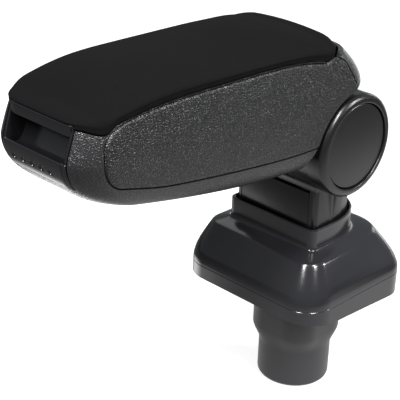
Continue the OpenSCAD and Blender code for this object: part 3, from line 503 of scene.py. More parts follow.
def from_node(node, name, body, slot, material, bevel):
    """A copy of a CAD node's mesh, with merged points, eased edges and its own finish."""
    sharp_deg = 25.0
    data = nodes[node].data.copy()
    data.name = name
    work = bmesh.new()
    work.from_mesh(data)
    bmesh.ops.remove_doubles(work, verts=work.verts, dist=2e-6)
    bmesh.ops.dissolve_limit(work, angle_limit=math.radians(0.6), verts=work.verts, edges=work.edges)
    work.to_mesh(data)
    work.free()
    piece = bpy.data.objects.new(name, data)
    scene.collection.objects.link(piece)
    eased = piece.modifiers.new("eased_edges", "BEVEL")
    eased.width = bevel * MM
    eased.segments = 3
    eased.limit_method = "ANGLE"
    eased.angle_limit = math.radians(sharp_deg)
    apply_modifiers(piece)
    soften(piece, sharp_deg)
    return finish_piece(piece, body, slot, material, node)


def apply_modifiers(piece):
    bpy.context.view_layer.update()
    graph = bpy.context.evaluated_depsgraph_get()
    made = bpy.data.meshes.new_from_object(piece.evaluated_get(graph))
    piece.modifiers.clear()
    piece.data = made


from_node("hinge_post", "hinge_post_moulding", "base", "post_plastic", post_plastic, bevel=0.5)
from_node("post_front_panel", "post_front_panel_moulding", "base", "post_plastic", post_plastic, bevel=0.4)

# Hinge shaft, washers, nut and flanged bushes keep their turned shapes from the frame.
# The knuckle between the cheeks is a dark cast part that carries the whole arm.
cast_metal = metal("cast_metal", (0.06, 0.06, 0.064), roughness=0.5, brush=(300.0, 300.0, 300.0),
                   metallic=0.7)
bush_plastic = moulded_plastic("bush_plastic", (0.6, 0.57, 0.5), roughness=0.45)
dress("right_bush", bush_plastic)
dress("left_bush", bush_plastic)
from_node("arm_knuckle", "arm_knuckle_casting", "arm", "cast_metal", cast_metal, bevel=0.6)
from_node("lid_hinge_bracket", "lid_hinge_bracket_casting", "arm", "cast_metal", cast_metal, bevel=0.4)

# Hinge caps: on each side a smooth ring with a rolled edge and a slightly domed disc let into
# it. Both are satin mouldings that snap into the hinge's cheeks.
cap_plastic = moulded_plastic("cap_plastic", (0.004, 0.004, 0.0045), roughness=0.26)
hinge_x, hinge_z = -15.5, 273.4
head_half, cap_bore_r, cap_seat, cap_out, cap_turns = 49.0, 26.0, 51.6, 68.6, 160
ring_r, ring_roll, ring_fall, ring_heel, ring_lip = 48.6, 6.6, 5.5, 0.4, 1.0
disc_r, disc_gap, disc_sunk, disc_round, disc_flat, disc_swell = 39.9, 0.5, 1.6, 1.8, 2.6, 1.5
disc_hub_r, disc_hub = 23.0, 46.0


def turned(name, profile, side, closed):
    """A profile of radius and width turned round the hinge; a closed one joins last to first."""
    points = []
    for r, y in profile:
        for i in range(cap_turns):
            a = 2 * math.pi * i / cap_turns
            points.append((hinge_x + r * math.cos(a), side * y, hinge_z + r * math.sin(a)))
    faces = ring_sides(len(profile), cap_turns)
    if closed:
        start = (len(profile) - 1) * cap_turns
        faces += [(start + i, start + (i + 1) % cap_turns, (i + 1) % cap_turns, i) for i in range(cap_turns)]
    return mesh_piece(name, points, faces, 40.0)


ring_edge = [(ring_r - ring_roll * (1 - math.cos(a)), cap_out - ring_fall * (1 - math.sin(a)))
             for a in np.linspace(0, math.pi / 2, 18)]
lip_inner = [(disc_r + disc_gap + ring_lip * (1 - math.sin(a)), cap_out - ring_lip * (1 - math.cos(a)))
             for a in np.linspace(0, math.pi / 2, 7)]
ring_profile = [(cap_bore_r, head_half), (ring_r - ring_heel, head_half), (ring_r, head_half + ring_heel)]
ring_profile += ring_edge + lip_inner + [(disc_r + disc_gap, cap_seat), (cap_bore_r, cap_seat)]
disc_top = cap_out - disc_sunk
disc_rim = [(disc_r - disc_round * (1 - math.cos(a)), disc_top - disc_round * (1 - math.sin(a)))
            for a in np.linspace(0, math.pi / 2, 9)]
disc_dome = [((disc_r - disc_flat) * s, disc_top + disc_swell * (1 - s * s))
             for s in np.linspace(1, 0.002, 24)]
disc_profile = [(disc_hub_r, disc_hub), (cap_bore_r, disc_hub), (cap_bore_r, cap_seat), (disc_r, cap_seat)]
disc_profile += disc_rim + disc_dome
for side, word in ((-1, "left"), (1, "right")):
    cap_ring = turned(f"{word}_cap_ring_moulding", ring_profile, side, closed=True)
    finish_piece(cap_ring, "base", "cap_plastic", cap_plastic, f"{word}_cap_ring")
    cap_disc = turned(f"{word}_cap_disc_moulding", disc_profile, side, closed=False)
    finish_piece(cap_disc, "base", "cap_plastic", cap_plastic, f"{word}_cap_disc")

# Lower shell: one deep moulding in coarse grained plastic, with a round lower nose.
# It is hollow for the tray, open over the hinge head and let in for the side panels.
arm_front, arm_half, rear_low_x, rear_top_x, tail_swell, tail_share = 327.0, 66.0, -2.0, -23.0, 4.5, 0.68
nose_r, tail_r, nose_round, nose_lean, nose_share = 32.0, 28.0, 36.0, 7.0, 0.57
side_swell, foot_tuck, foot_share = 3.5, 12.0, 0.2
under_low, under_climb, under_x, under_run = 263.8, 27.5, -70.0, 210.0
joint_top, joint_top_x, nose_fall, nose_run, tail_fall, tail_run = 370.0, -205.0, 10.0, 100.0, 10.5, 150.0
rear_rim, rear_rim_x, rear_rim_run = 6.0, -44.0, 8.0
taper_share, taper_x, taper_run = 0.13, -60.0, 267.0
shell_wall, shell_floor, bulkhead_x, bulkhead_t = 5.0, 2.6, -123.0, 2.6
window_half, window_x, window_foot = 38.4, -296.0, 313.0
past_nose, far_side, far_above = -360.0, 90.0, 420.0


def round_share(s):
    return math.sqrt(1 - (1 - unit(s)) ** 2)


def under_z(x):
    """The underside: level below the hinge and climbing to the nose."""
    return under_low + under_climb * max(0.0, (under_x - x) / under_run) ** 1.65


def joint_at(x):
    """Height of the joint between shell and lid, which falls to both ends."""
    if x < joint_top_x:
        return joint_top - nose_fall * unit((joint_top_x - x) / nose_run) ** 2.4
    return joint_top - tail_fall * unit((x - joint_top_x) / tail_run) ** 4.5


def rim_at(x):
    return joint_at(x) + rear_rim * ease((x - rear_rim_x) / rear_rim_run)


def taper(x):
    """The arm grows narrower toward its nose."""
    return 1 - taper_share * unit((taper_x - x) / taper_run) ** 1.3


# The shell's form at a share t of its height: foremost point, rearmost point and half width.
def form_front(t):
    lean = nose_lean * unit((t - nose_share) / (1 - nose_share))
    return -arm_front + nose_round * (1 - round_share(t / nose_share)) + lean


def form_rear(t):
    low = rear_low_x + tail_swell
    return low + (rear_top_x - rear_low_x - tail_swell) * unit((t - tail_share) / (1 - tail_share)) ** 1.5


def form_half(t):
    return arm_half - side_swell * (2 * t - 1) ** 2 - foot_tuck * (1 - round_share(t / foot_share))


def form_plan(t, inset):
    half, front, rear = form_half(t) - inset, form_front(t) + inset, form_rear(t) - inset
    fr, rr = max(nose_r - inset, 1.0), max(tail_r - inset, 1.0)
    plan = [(front, 0.0), (front, -(half - fr) / 2)]
    plan += arc(front + fr, fr - half, fr, 180, 270, 24)
    plan += [(x, -half) for x in np.linspace(front + fr, rear - rr, 70)[1:-1]]
    plan += arc(rear - rr, rr - half, rr, 270, 360, 20)
    plan += [(rear, -(half - rr) / 2), (rear, 0.0)]
    return [(x, y * taper(x)) for x, y in mirrored(plan)]


def form_ring(t, inset, lift=0.0):
    return [(x, y, under_z(x) + lift + (rim_at(x) - under_z(x) - lift) * t) for x, y in form_plan(t, inset)]


def closed_by_rungs(count, start, flip=False):
    """Faces across a ring, from each point to the one opposite it."""
    half = count // 2
    faces = [(start + i, start + i + 1, start + count - i - 1, start + (count - i) % count)
             for i in range(1, half - 1)]
    faces += [(start, start + 1, start + count - 1), (start + half - 1, start + half, start + half + 1)]
    return [f[::-1] for f in faces] if flip else faces


def lofted(name, rings, sharp_deg=32.0):
    count = len(rings[0])
    faces = ring_sides(len(rings), count)
    faces += closed_by_rungs(count, 0) + closed_by_rungs(count, (len(rings) - 1) * count, True)
    return mesh_piece(name, [p for ring in rings for p in ring], faces, sharp_deg)


def prism(name, outline, y0, y1):
    count = len(outline)
    points = [(x, y0, z) for x, z in outline] + [(x, y1, z) for x, z in outline]
    faces = ring_sides(2, count) + [tuple(range(count))[::-1], tuple(range(count, 2 * count))]
    return mesh_piece(name, points, faces)


def cut_by(piece, *tools, operation="DIFFERENCE"):
    for tool in tools:
        cut = piece.modifiers.new("cut", "BOOLEAN")
        cut.solver = "EXACT"
        cut.operation = operation
        cut.object = tool
    apply_modifiers(piece)
    for tool in tools:
        bpy.data.objects.remove(tool)


foot_levels = [foot_share * (1 - math.cos(a)) for a in np.linspace(0.0, math.pi / 2, 17)]
shell_levels = foot_levels + list(np.linspace(foot_share, 1, 23)[1:])
arm_shell = lofted("arm_shell_moulding", [form_ring(t, 0.0) for t in shell_levels])


room_r, room_front, room_rear = 52.0, -77.0, 116.5
room_foot, room_sill, room_top = 219.0, 271.0, 335.0


def head_room(name, grow, half_width):
    """What the arm leaves free round the hinge head, as a solid right across the arm."""
    r = room_r + grow
    on_arc = [(hinge_x + r * math.cos(math.radians(a)), hinge_z + r * math.sin(math.radians(a)))
              for a in (160, 110)]
    front, top = room_front - grow, room_top + grow
    wedge = [on_arc[0], (front, room_sill), (front, room_foot), (room_rear, room_foot), (room_rear, top),
             (rear_low_x, top), on_arc[1]]
    rest = prism(name, wedge, -half_width, half_width)
    cut_by(rest, prism(name + "_disc", arc(hinge_x, hinge_z, r, 0, 360, 181)[:-1], -half_width, half_width),
           operation="UNION")
    return rest


def block(name, x0, x1, z0, z1, half_width):
    return prism(name, [(x0, z0), (x1, z0), (x1, z1), (x0, z1)], -half_width, half_width)


cavity_levels = foot_levels + list(np.linspace(foot_share, 1.03, 16)[1:])
cavity = lofted("cavity", [form_ring(t, shell_wall, shell_floor) for t in cavity_levels])
bulkhead = block("bulkhead", bulkhead_x, bulkhead_x + bulkhead_t, 240.0, 400.0, 80.0)
cut_by(cavity, head_room("cavity_keep", shell_floor, 85.0), bulkhead)


def rounded_edges(piece, width, sharp_deg, chosen):
    """Round the sharp edges whose middle is chosen."""
    work = bmesh.new()
    work.from_mesh(piece.data)
    weight = work.edges.layers.float.new("bevel_weight_edge")
    for edge in work.edges:
        middle = (edge.verts[0].co + edge.verts[1].co) / 2
        sharp = len(edge.link_faces) == 2 and edge.calc_face_angle() > math.radians(sharp_deg)
        edge[weight] = 1.0 if sharp and chosen(middle) else 0.0
    work.to_mesh(piece.data)
    work.free()
    eased = piece.modifiers.new("eased_edges", "BEVEL")
    eased.width = width * MM
    eased.segments = 4
    eased.limit_method = "WEIGHT"
    apply_modifiers(piece)


lobe_x = (-318.0, -314.5, -308.7, -303.0, -300.0, -298.2, -296.0, -292.0)
lobe_drop = (0.0, 0.4, 2.4, 4.3, 5.0, 4.2, 2.2, 0.0)


def lobe_at(x):
    """How far the padded lid hangs down over the shell's front corners."""
    return float(np.interp(x, lobe_x, lobe_drop))


corner_x = np.linspace(-336.0, -286.0, 51)
corner_line = [(x, joint_at(x) - lobe_at(x)) for x in corner_x]
corner_cut = prism("corner_cut", corner_line + [(corner_x[-1], far_above), (corner_x[0], far_above)],
                   -far_side, far_side)
window = block("window", past_nose, window_x, window_foot, far_above, window_half)
cut_by(arm_shell, head_room("head_room_cut", 0.0, far_side), cavity, window, corner_cut)

# Side panels: thin grained mouldings let into each side, with a rounded edge that stands
# slightly proud. Each follows the arm's side as a fan of strips from outline to a middle line.
panel_rim, panel_lift, panel_front, panel_run, panel_middle_z = 1.2, 21.6, -303.5, 226.5, 334.0
straight_front, straight_rear = -279.0, -92.0
panel_proud, panel_sunk, edge_round, pocket_gap, pocket_depth = 0.6, 2.0, 2.0, 0.8, 2.4


def side_y(x, z):
    """Half width of the arm's outside at a place on its side."""
    t = unit((z - under_z(x)) / (rim_at(x) - under_z(x)))
    half, front, rear = form_half(t), form_front(t) + nose_r, form_rear(t) - tail_r
    if x < front:
        half += math.sqrt(max(nose_r ** 2 - (front - x) ** 2, 0.0)) - nose_r
    elif x > rear:
        half += math.sqrt(max(tail_r ** 2 - (x - rear) ** 2, 0.0)) - tail_r
    return half * taper(x)


def filleted(points, radii, steps):
    """The outline through the points with its corners rounded, a radius to each point."""
    made = []
    for k, (p, r) in enumerate(zip(points, radii)):
        if not r:
            made.append(tuple(p))
            continue
        p = Vector(p)
        a, b = Vector(points[k - 1]) - p, Vector(points[(k + 1) % len(points)]) - p
        half = a.angle(b) / 2
        run = r / math.tan(half)
        centre = p + (a.normalized() + b.normalized()).normalized() * (r / math.sin(half))
        start, stop = p + a.normalized() * run - centre, p + b.normalized() * run - centre
        swing = start.angle_signed(stop)
        for s in np.linspace(0, 1, steps):
            turned_by = Matrix.Rotation(-swing * s, 2) @ start
            made.append(tuple(centre + turned_by))
    return made


def smooth_line(at, values, x, reach):
    """Straight pieces between the values, rounded over a reach to each side."""
    return sum(np.interp(x + d, at, values) for d in (-reach, -reach / 2, 0, reach / 2, reach)) / 5


low_x_shares = np.array([-0.008, 0.1, 0.178, 0.248, 0.32, 0.383, 0.578, 0.717, 1])
low_lift_shares = np.array([0.9, 0.87, 0.82, 0.8, 0.83, 0.865, 0.944, 0.977, 1])
low_x = low_x_shares * panel_run + panel_front
low_lift = low_lift_shares * panel_lift


def panel_low_z(x):
    return under_z(x) + smooth_line(low_x, low_lift, x, 12.0)


def panel_top_z(x):
    return joint_at(x) - panel_rim


straight_x = np.linspace(straight_front, straight_rear, 116)
front_end = filleted([(straight_front, panel_low_z(straight_front)), (-305.3, panel_low_z(-305.3)),
                      (panel_front, 359.0), (straight_front, panel_top_z(straight_front))],
                     [0, 21.5, 21.5, 0], 28)
round_head = arc(hinge_x, hinge_z, 52.5, 110, 160, 26)
rear_end = filleted([(x, panel_top_z(x)) for x in (straight_rear, -80.0, -62.0)]
                    + [(-44.5, 368.5), (-18.2, 329.0)] + round_head
                    + [(-66.4, 285.6), (straight_rear, panel_low_z(straight_rear))],
                    [0, 0, 0, 21, 4] + [0] * len(round_head) + [3, 0], 16)
panel_shape = np.array([(x, panel_low_z(x)) for x in straight_x[::-1]]
                       + [tuple(p) for p in spread(front_end, 90)[1:-1]]
                       + [(x, panel_top_z(x)) for x in straight_x]
                       + [tuple(p) for p in spread(rear_end, 200)[1:-1]])


def panel_solid(name, side, grow, profile):
    """Rings between the middle line and the edge. The profile holds pairs of place and rise: up to
    edge_strip a place is mm from the edge, beyond it a percentage of the way to the middle line."""
    edge_strip, strip_in = 5.0, 4.0
    centre = np.array([(min(max(x, straight_front), straight_rear), panel_middle_z) for x, z in panel_shape])
    tangent = np.roll(panel_shape, -1, axis=0) - np.roll(panel_shape, 1, axis=0)
    normal = np.c_[-tangent[:, 1], tangent[:, 0]] / np.linalg.norm(tangent, axis=1, keepdims=True)
    normal *= np.sign(np.sum(normal * (centre - panel_shape)))
    points = []
    for distance, rise in profile:
        if distance > edge_strip:
            start = panel_shape + normal * strip_in
            ring = start + (centre - start) * ((distance - edge_strip) / (100.0 - edge_strip))
        else:
            ring = panel_shape + normal * (distance - grow)
        points += [(x, side * (side_y(x, z) + rise), z) for x, z in ring]
    return mesh_piece(name, points, ring_sides(len(profile), len(panel_shape)), 50)


def panel_layers(rise, edge, depth, rings):
    """A profile from the middle over an outer face, round the edge and back along an inner face."""
    outer = [(100, rise)] + [(d, rise) for d in np.linspace(94, 6, rings)] + [(4.0, rise)]
    return outer + edge + [(0.0, -depth), (4.0, -depth)] + [(d, -depth) for d in np.linspace(6, 100, 12)]


rounded_edge = [(edge_round * (1 - math.sin(a)), panel_proud - edge_round * (1 - math.cos(a)))
                for a in np.linspace(0, math.pi / 2, 10)]
panel_profile = panel_layers(panel_proud, rounded_edge, panel_sunk, 23)
pocket_profile = panel_layers(3.0, [(0.0, 3.0)], pocket_depth, 12)
for side, word in ((-1, "left"), (1, "right")):
    cut_by(arm_shell, panel_solid(word + "_pocket", side, pocket_gap, pocket_profile))

# Leather grain: rounded pebbles between creases, with a fine pitting over them and painted shade in the creases.
grain_group, grain_in, grain_out = new_group(
    "leather_grain",
    [("Vector", "NodeSocketVector", None), ("Color", "NodeSocketColor", (0.02, 0.02, 0.02, 1.0)),
     ("Pebble Scale", "NodeSocketFloat", 620.0), ("Roughness", "NodeSocketFloat", 0.4),
     ("Painted Crease Shade", "NodeSocketFloat", 0.6)],
    [("Color", "NodeSocketColor"), ("Roughness", "NodeSocketFloat"), ("Height", "NodeSocketFloat")])
# The pebbles' places are pushed about by a noise, so that no crease runs straight.
warp = grain_group.nodes.new("ShaderNodeTexNoise")
warp.inputs["Scale"].default_value = 420.0
grain_group.links.new(grain_in.outputs["Vector"], warp.inputs["Vector"])
warp_size = grain_group.nodes.new("ShaderNodeVectorMath")
warp_size.operation = "MULTIPLY_ADD"
warp_size.inputs[1].default_value = (0.0014, 0.0014, 0.0014)
grain_group.links.new(warp.outputs["Color"], warp_size.inputs[0])
grain_group.links.new(grain_in.outputs["Vector"], warp_size.inputs[2])
pebble = grain_group.nodes.new("ShaderNodeTexVoronoi")
pebble.feature = "DISTANCE_TO_EDGE"
grain_group.links.new(warp_size.outputs["Vector"], pebble.inputs["Vector"])
grain_group.links.new(grain_in.outputs["Pebble Scale"], pebble.inputs["Scale"])
swell = grain_group.nodes.new("ShaderNodeMapRange")
swell.interpolation_type = "SMOOTHSTEP"
swell.inputs["From Max"].default_value = 0.28
grain_group.links.new(pebble.outputs["Distance"], swell.inputs["Value"])
pitting = noise_node(grain_group, grain_in.outputs["Vector"], scale=1500.0, detail=2.0)
grain_height = math_node(grain_group, "MULTIPLY_ADD", pitting, 0.5, swell.outputs["Result"])
# Painted shade: the colour is darker in the creases, by the crease share set on the group.
grain_shade = math_node(grain_group, "MULTIPLY_ADD", math_node(
    grain_group, "SUBTRACT", swell.outputs["Result"], 1.0), grain_in.outputs["Painted Crease Shade"], 1.0)
grain_group.links.new(shaded(grain_group, grain_in.outputs["Color"], grain_shade), grain_out.inputs["Color"])
crease_rough = math_node(grain_group, "MULTIPLY_ADD", swell.outputs["Result"], -0.14, 0.14)
grain_group.links.new(
    math_node(grain_group, "ADD", grain_in.outputs["Roughness"], crease_rough), grain_out.inputs["Roughness"])
grain_group.links.new(grain_height, grain_out.inputs["Height"])


def grained_plastic(name, color, roughness, scale, bump):
    material, tree, shader, place = new_material(name)
    grain = group_node(tree, grain_group, place, Color=(*color, 1.0), Roughness=roughness, Pebble_Scale=scale)
    tree.links.new(grain.outputs["Color"], shader.inputs["Base Color"])
    tree.links.new(grain.outputs["Roughness"], shader.inputs["Roughness"])
    bump_into(tree, shader, grain.outputs["Height"], bump, distance=0.00022)
    return material


shell_plastic = grained_plastic("shell_plastic", (0.014, 0.014, 0.015), roughness=0.24, scale=540.0, bump=0.6)
panel_plastic = grained_plastic("panel_plastic", (0.007, 0.007, 0.0075), roughness=0.225, scale=510.0,
                                bump=0.92)


def beside_window(middle):
    return middle.x < window_x * MM and abs(middle.y) > 36.5 * MM


rounded_edges(arm_shell, 1.0, 40, beside_window)
soften(arm_shell, 30)
finish_piece(arm_shell, "arm", "shell_plastic", shell_plastic, "arm_shell")
for side, word in ((-1, "left"), (1, "right")):
    side_panel = panel_solid(word + "_side_panel_moulding", side, 0.0, panel_profile)
    finish_piece(side_panel, "arm", "panel_plastic", panel_plastic, word + "_side_panel")

# Front insert: a satin black moulding with a rounded, dimpled lip, a scooped finger mouth
# and a cheek at each end. A fine seam marks the flange that clips it into the shell.
insert_plastic = moulded_plastic("insert_plastic", (0.006, 0.006, 0.007), roughness=0.16, stipple=1500.0,
                                 unevenness=0.06, bump=0.05)
insert_half, cheek_t, cheek_behind, lip_wall, scoop_depth = 36.9, 2.2, 0.8, 2.6, 24.0
lip_foot_share, lip_top_share, lip_z, scoop_top, mouth_foot = 0.218, 0.548, 335.0, 357.0, 313.0
bar_x, bar_z, bar_h, bar_depth = -320.0, 353.2, 11.0, 9.0
scoop_back = -arm_front + scoop_depth
dimple_r, dimple_pitch, dimple_z, dimple_depth, dimple_mid, dome_r = 2.9, 10.8, 323.2, 1.8, 3.5, 1.5
flange_in, flange_out, flange_depth, end_round, seam_step = 32.9, 33.4, 0.4, 0.9, 0.05
face_steps, lip_steps, mouth_steps, section_count = 86, 10, 40, 241


def nose_point(t, y):
    """A point on the arm's rounded nose, at a height share and a distance from the middle."""
    front, half = form_front(t), form_half(t)
    x = front
    for _ in range(4):
        beyond = abs(y) / taper(x) - (half - nose_r)
        x = front + (nose_r - math.sqrt(nose_r ** 2 - beyond ** 2) if beyond > 0 else 0.0)
    return x, under_z(x) + (joint_at(x) - under_z(x)) * t


def joined(piece, *others):
    work = bmesh.new()
    work.from_mesh(piece.data)
    for other in others:
        work.from_mesh(other.data)
        bpy.data.objects.remove(other)
    work.to_mesh(piece.data)
    work.free()
    return piece


def nose_dent(y, z):
    """How far the lip's face is pressed in: five domed dimples, a seam at each end, rounded ends."""
    nearest = dimple_mid + dimple_pitch * min(2, max(-2, round((y - dimple_mid) / dimple_pitch)))
    off = math.hypot(y - nearest, z - dimple_z)
    dent = dimple_depth * (1 - (off / dimple_r) ** 2) ** 0.5 if off < dimple_r else 0.0
    if off < dome_r:
        dent -= dome_r * math.sqrt(1 - (off / dome_r) ** 2)
    if flange_in < abs(y) < flange_out:
        dent += flange_depth
    past = abs(y) - insert_half + end_round
    return dent + (end_round - math.sqrt(max(end_round ** 2 - past ** 2, 0.0)) if past > 0 else 0.0)


def insert_section(y):
    """Up the lip's face, over its rounded top, down into the mouth and up its back."""
    lip_r, rim_count = lip_wall / 2, face_steps + lip_steps
    section = []
    for t in np.linspace(lip_foot_share, lip_top_share, face_steps):
        x, z = nose_point(t, y)
        section.append((x + nose_dent(y, z), z))
    top_x, top_z = nose_point(lip_top_share, y)
    lead = top_x - form_front(lip_top_share)
    top_x += nose_dent(y, top_z)
    section += [(top_x + lip_r - lip_r * math.cos(a), top_z + lip_r * math.sin(a))
                for a in np.linspace(0, math.pi, lip_steps + 1)[1:]]
    for a in np.linspace(0, math.pi / 2, mouth_steps):
        x = -arm_front + lip_wall + (scoop_depth - lip_wall) * math.sin(a) + lead * (1 - math.sin(a))
        z = (lip_z - (lip_z - mouth_foot) / 2 * math.sin(2 * a) * math.cos(a)
             + (bar_z - lip_z) * (1 - math.cos(a)))
        if x > section[-1][0] and (z < top_z or len(section) > rim_count + 2):
            section.append((x, z))
    section = section[:rim_count] + [tuple(p) for p in spread(section[rim_count:], mouth_steps)]
    back = scoop_back + lip_wall
    return section + [(scoop_back, scoop_top), (back, scoop_top), (back, bar_z - scoop_depth),
                      (scoop_back - lip_wall, mouth_foot + lip_wall)]


# Sections stand evenly across the insert, closer at its rounded ends and at both sides of the seams.
even_half = insert_half - end_round
end_ys = np.linspace(even_half, insert_half, 9)
seam_ys = np.array([edge + step for edge in (flange_in, flange_out) for step in (-seam_step, seam_step)])
section_ys = np.unique(np.round(np.r_[np.linspace(-even_half, even_half, section_count), end_ys, -end_ys,
                                      seam_ys, -seam_ys], 3))
sections = [insert_section(y) for y in section_ys]
section_size = len(sections[0])
insert_points = [(x, y, z) for y, section in zip(section_ys, sections) for x, z in section]
insert_faces = ring_sides(len(sections), section_size)
insert_faces += [tuple(range(section_size)),
                 tuple(range(len(insert_points) - section_size, len(insert_points)))[::-1]]
front_insert = mesh_piece("front_insert_moulding", insert_points, insert_faces)
cheek_nose = [nose_point(t, insert_half - cheek_t / 2) for t in np.linspace(lip_foot_share, 1.0, 40)]
cheek_profile = [(x + cheek_behind, z) for x, z in cheek_nose]
cheek_profile += [(bar_x + 1, bar_z + bar_h), (bar_x + bar_depth - 1, bar_z + bar_h),
                  (bar_x + bar_depth - 1, scoop_top), (scoop_back + 1, scoop_top),
                  (scoop_back, mouth_foot + lip_wall)]
for side in (-1, 1):
    cheek = prism("cheek", cheek_profile, side * insert_half, side * (insert_half - cheek_t))
    rounded_edges(cheek, 0.5, 50, lambda middle: True)
    joined(front_insert, cheek)
soften(front_insert, 36)
finish_piece(front_insert, "arm", "insert_plastic", insert_plastic, "front_insert")

# Storage tray, lid plate and catch keep their shapes from the frame, with eased edges.
# They are plain dull mouldings that show only with the lid open.
tray_plastic = moulded_plastic("tray_plastic", (0.03, 0.03, 0.032), roughness=0.5)
lid_plastic = moulded_plastic("lid_plastic", (0.022, 0.022, 0.024), roughness=0.45)
from_node("storage_tray", "storage_tray_moulding", "arm", "tray_plastic", tray_plastic, bevel=0.5)
from_node("lid_plate", "lid_plate_moulding", "lid", "lid_plastic", lid_plastic, bevel=0.4)
from_node("lid_catch", "lid_catch_moulding", "lid", "tray_plastic", tray_plastic, bevel=0.25)

# Release bar: a rounded satin bar across the mouth that follows the arm's front corners.
# It turns on two stub pins in the insert's cheeks against a small torsion spring.
bar_half, bar_face_r, bar_back_r, bar_end_r, bar_steps = 35.0, 2.6, 2.0, 1.5, 61
pin_x, pin_z, pin_r, pin_from, pin_to, pin_turns = -316.0, 360.6, 1.1, 34.0, 36.5, 24

bar_back = bar_depth - bar_back_r
bar_section = []
for cx, cz, r, start in ((bar_face_r, bar_face_r, bar_face_r, 180),
                         (bar_face_r, bar_h - bar_face_r, bar_face_r, 90),
                         (bar_back, bar_h - bar_back_r, bar_back_r, 0), (bar_back, bar_back_r, bar_back_r, -90)):
    bar_section += arc(cx, cz, r, start + 90, start, 9)
bar_points = []
for s in np.linspace(-1, 1, bar_steps):
    y = bar_half * s
    end = max(0.0, abs(y) - (bar_half - bar_end_r))
    tuck = bar_end_r - math.sqrt(max(bar_end_r ** 2 - end ** 2, 0.0))
    lead = nose_point(1.0, y)[0] - bar_x
    for dx, dz in bar_section:
        x = min(max(dx + lead * (1 - dx / bar_depth), tuck), bar_depth - tuck)
        bar_points.append((bar_x + x, y, bar_z + min(max(dz, tuck), bar_h - tuck)))
bar_count = len(bar_section)
bar_faces = ring_sides(bar_steps, bar_count)
bar_faces += [tuple(range(bar_count))[::-1], tuple(range(bar_count * (bar_steps - 1), bar_count * bar_steps))]
release_bar = mesh_piece("release_bar_moulding", bar_points, bar_faces, 50)
for side in (-1, 1):
    pin_circle = arc(pin_x, pin_z, pin_r, 0, 360, pin_turns + 1)[:-1]
    joined(release_bar, prism("stub_pin", pin_circle, side * pin_from, side * pin_to))
soften(release_bar, 50)
finish_piece(release_bar, "latch", "insert_plastic", insert_plastic, "release_bar")

# Lid pad: knit fabric stretched over soft foam, wrapped down over the plate's edge.
# It is thin in the middle of its length, full at the rear, and hangs over the shell's corners.
knit_group, knit_in, knit_out = new_group(
    "fine_knit",
    [("Vector", "NodeSocketVector", None), ("Color", "NodeSocketColor", (0.01, 0.01, 0.01, 1.0)),
     ("Row Pitch", "NodeSocketFloat", 0.001), ("Wale Pitch", "NodeSocketFloat", 0.0008),
     ("Lint", "NodeSocketFloat", 0.2)],
    [("Color", "NodeSocketColor"), ("Height", "NodeSocketFloat")])
knit_axes = knit_group.nodes.new("ShaderNodeSeparateXYZ")
knit_group.links.new(knit_in.outputs["Vector"], knit_axes.inputs["Vector"])
loops = []
for axis, pitch in (("X", "Row Pitch"), ("Y", "Wale Pitch")):
    turns_along = math_node(knit_group, "DIVIDE", knit_axes.outputs[axis], knit_in.outputs[pitch])
    angle_along = math_node(knit_group, "MULTIPLY", turns_along, math.pi)
    loops.append(math_node(knit_group, "ABSOLUTE", math_node(knit_group, "SINE", angle_along)))
knit_height = math_node(knit_group, "MULTIPLY", loops[0], math_node(knit_group, "POWER", loops[1], 0.6))
lint_noise = noise_node(knit_group, knit_in.outputs["Vector"], scale=90.0, detail=5.0)
lint_tone = math_node(knit_group, "MULTIPLY_ADD", math_node(knit_group, "SUBTRACT", lint_noise, 0.5),
                      knit_in.outputs["Lint"], 1.0)
# Painted shade: the colour is darker between the knit's loops and lighter on their tops.
painted_loop_shade = math_node(knit_group, "MULTIPLY_ADD", knit_height, 0.3, 0.8)
knit_group.links.new(shaded(knit_group, knit_in.outputs["Color"], math_node(
    knit_group, "MULTIPLY", lint_tone, painted_loop_shade)), knit_out.inputs["Color"])
knit_group.links.new(knit_height, knit_out.inputs["Height"])
pad_fabric, pad_tree, pad_shader, pad_place = new_material("lid_fabric")
knit = group_node(pad_tree, knit_group, pad_place, Color=(0.0058, 0.0055, 0.0057, 1.0))
pad_tree.links.new(knit.outputs["Color"], pad_shader.inputs["Base Color"])
pad_shader.inputs["Roughness"].default_value = 0.85
pad_shader.inputs["Specular IOR Level"].default_value = 0.0
pad_shader.inputs["Sheen Weight"].default_value = 0.01
pad_shader.inputs["Sheen Roughness"].default_value = 0.45
bump_into(pad_tree, pad_shader, knit.outputs["Height"], strength=0.5, distance=0.00015)
lid_front, lid_rear, pad_rear_r, pad_rise_mm, pad_over_joint = 320.0, -36.6, 24.0, 10.5, 4.1
crown_inset = np.array([0, -0.6, -0.24, 1.8, 6.0, 13.2, 24.0, 39.6, 55.2])
crown_share = np.array([0, 0.14, 0.28, 0.46, 0.62, 0.72, 0.82, 0.92, 0.99])
height_x = np.array([-320, -290, -255, -220, -185, -150, -115, -80, -55, -36.0])
edge_height = np.array([6.5, 9.3, 11.6, 10.0, 8.0, 5.8, 5.4, 9.2, 16.2, 24.0])
middle_height = np.array([6.5, 9.6, 12.0, 11.0, 10.0, 9.4, 10.2, 13.0, 17.5, 24.0])
rear_lean, rear_crown, rear_crown_x, rear_crown_run, rear_crown_half = 0.5, 4.8, -150.0, 95.0, 58.0
bar_step_x, bar_step_z, bar_step_foot, bar_step_half = -310.2, 365.0, 364.05, 37.6


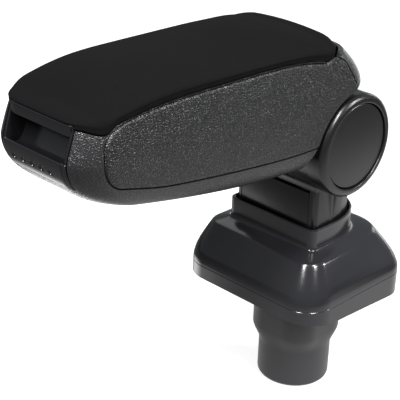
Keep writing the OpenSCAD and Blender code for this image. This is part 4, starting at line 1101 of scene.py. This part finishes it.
def lid_plan(inset):
    half, front = form_half(1) - inset, -lid_front + inset
    rear = lid_rear - inset - rear_lean * max(inset, 0.0)
    fr, rr = max(nose_r - inset, 2.0), max(pad_rear_r - 0.2 * inset, 2.0)
    plan = [(front, 0.0)] + [(front, -(half - fr) * s) for s in np.linspace(0.1, 0.95, 10)]
    plan += arc(front + fr, fr - half, fr, 180, 270, 28)
    plan += [(x, -half) for x in np.linspace(front + fr, rear - rr, 90)[1:-1]]
    plan += arc(rear - rr, rr - half, rr, 270, 360, 24)
    plan += [(rear, -(half - rr) * s) for s in np.linspace(0.95, 0.1, 10)] + [(rear, 0.0)]
    return [(x, y * taper(x)) for x, y in mirrored(plan)]


def pad_rise(x, share):
    """Height of the padding at a share of the way from its edge to its middle."""
    height = smooth_line(height_x, edge_height, x, 14.0)
    crown = smooth_line(height_x, middle_height, x, 14.0)
    return share * (height + (crown - height) * ease((share - 0.62) / 0.38))


def rear_swell(x, y):
    """The rear end is domed from side to side as well."""
    along = ease((x - rear_crown_x) / rear_crown_run)
    return rear_crown * along * max(0.0, 1.0 - (y / rear_crown_half) ** 2)


# The wrapped hem, as steps in from the lid's outline and heights over the shell's joint.
pad_hem = ((6.0, 4.05), (0.9, 4.05), (0.7, 1.5), (0.2, 1.1), (-0.2, 1.5), (-0.25, 3.0))
pad_rings = [[(x, y, joint_at(x) + z - lobe_at(x)) for x, y in lid_plan(inset)] for inset, z in pad_hem]
crown_run = np.cumsum(np.hypot(np.diff(crown_inset), np.diff(crown_share) * pad_rise_mm))
crown_places = np.r_[0.0, crown_run] / crown_run[-1]
for s in np.linspace(0, 1, 44):
    inset, share = np.interp(s, crown_places, crown_inset), np.interp(s, crown_places, crown_share)
    domed, hanging = ease(share / 0.55), 1.0 - ease(share / 0.5)
    pad_rings.append([(x, y, joint_at(x) + pad_over_joint + pad_rise(x, share) + domed * rear_swell(x, y)
                       - hanging * lobe_at(x)) for x, y in lid_plan(inset)])
lid_pad = lofted("lid_pad_fabric", pad_rings, 60)
past_lid, bar_step_rear, below_lid = -345.0, -288.0, 335.0
bar_step_line = [(past_lid, below_lid), (bar_step_rear, below_lid), (bar_step_rear, bar_step_foot),
                 (bar_step_x, bar_step_foot), (bar_step_x, bar_step_z), (past_lid, bar_step_z)]
bar_step = prism("bar_step", bar_step_line, -bar_step_half, bar_step_half)
cut_by(lid_pad, bar_step)
soften(lid_pad, 60)
finish_piece(lid_pad, "lid", "lid_fabric", pad_fabric, "lid_pad")
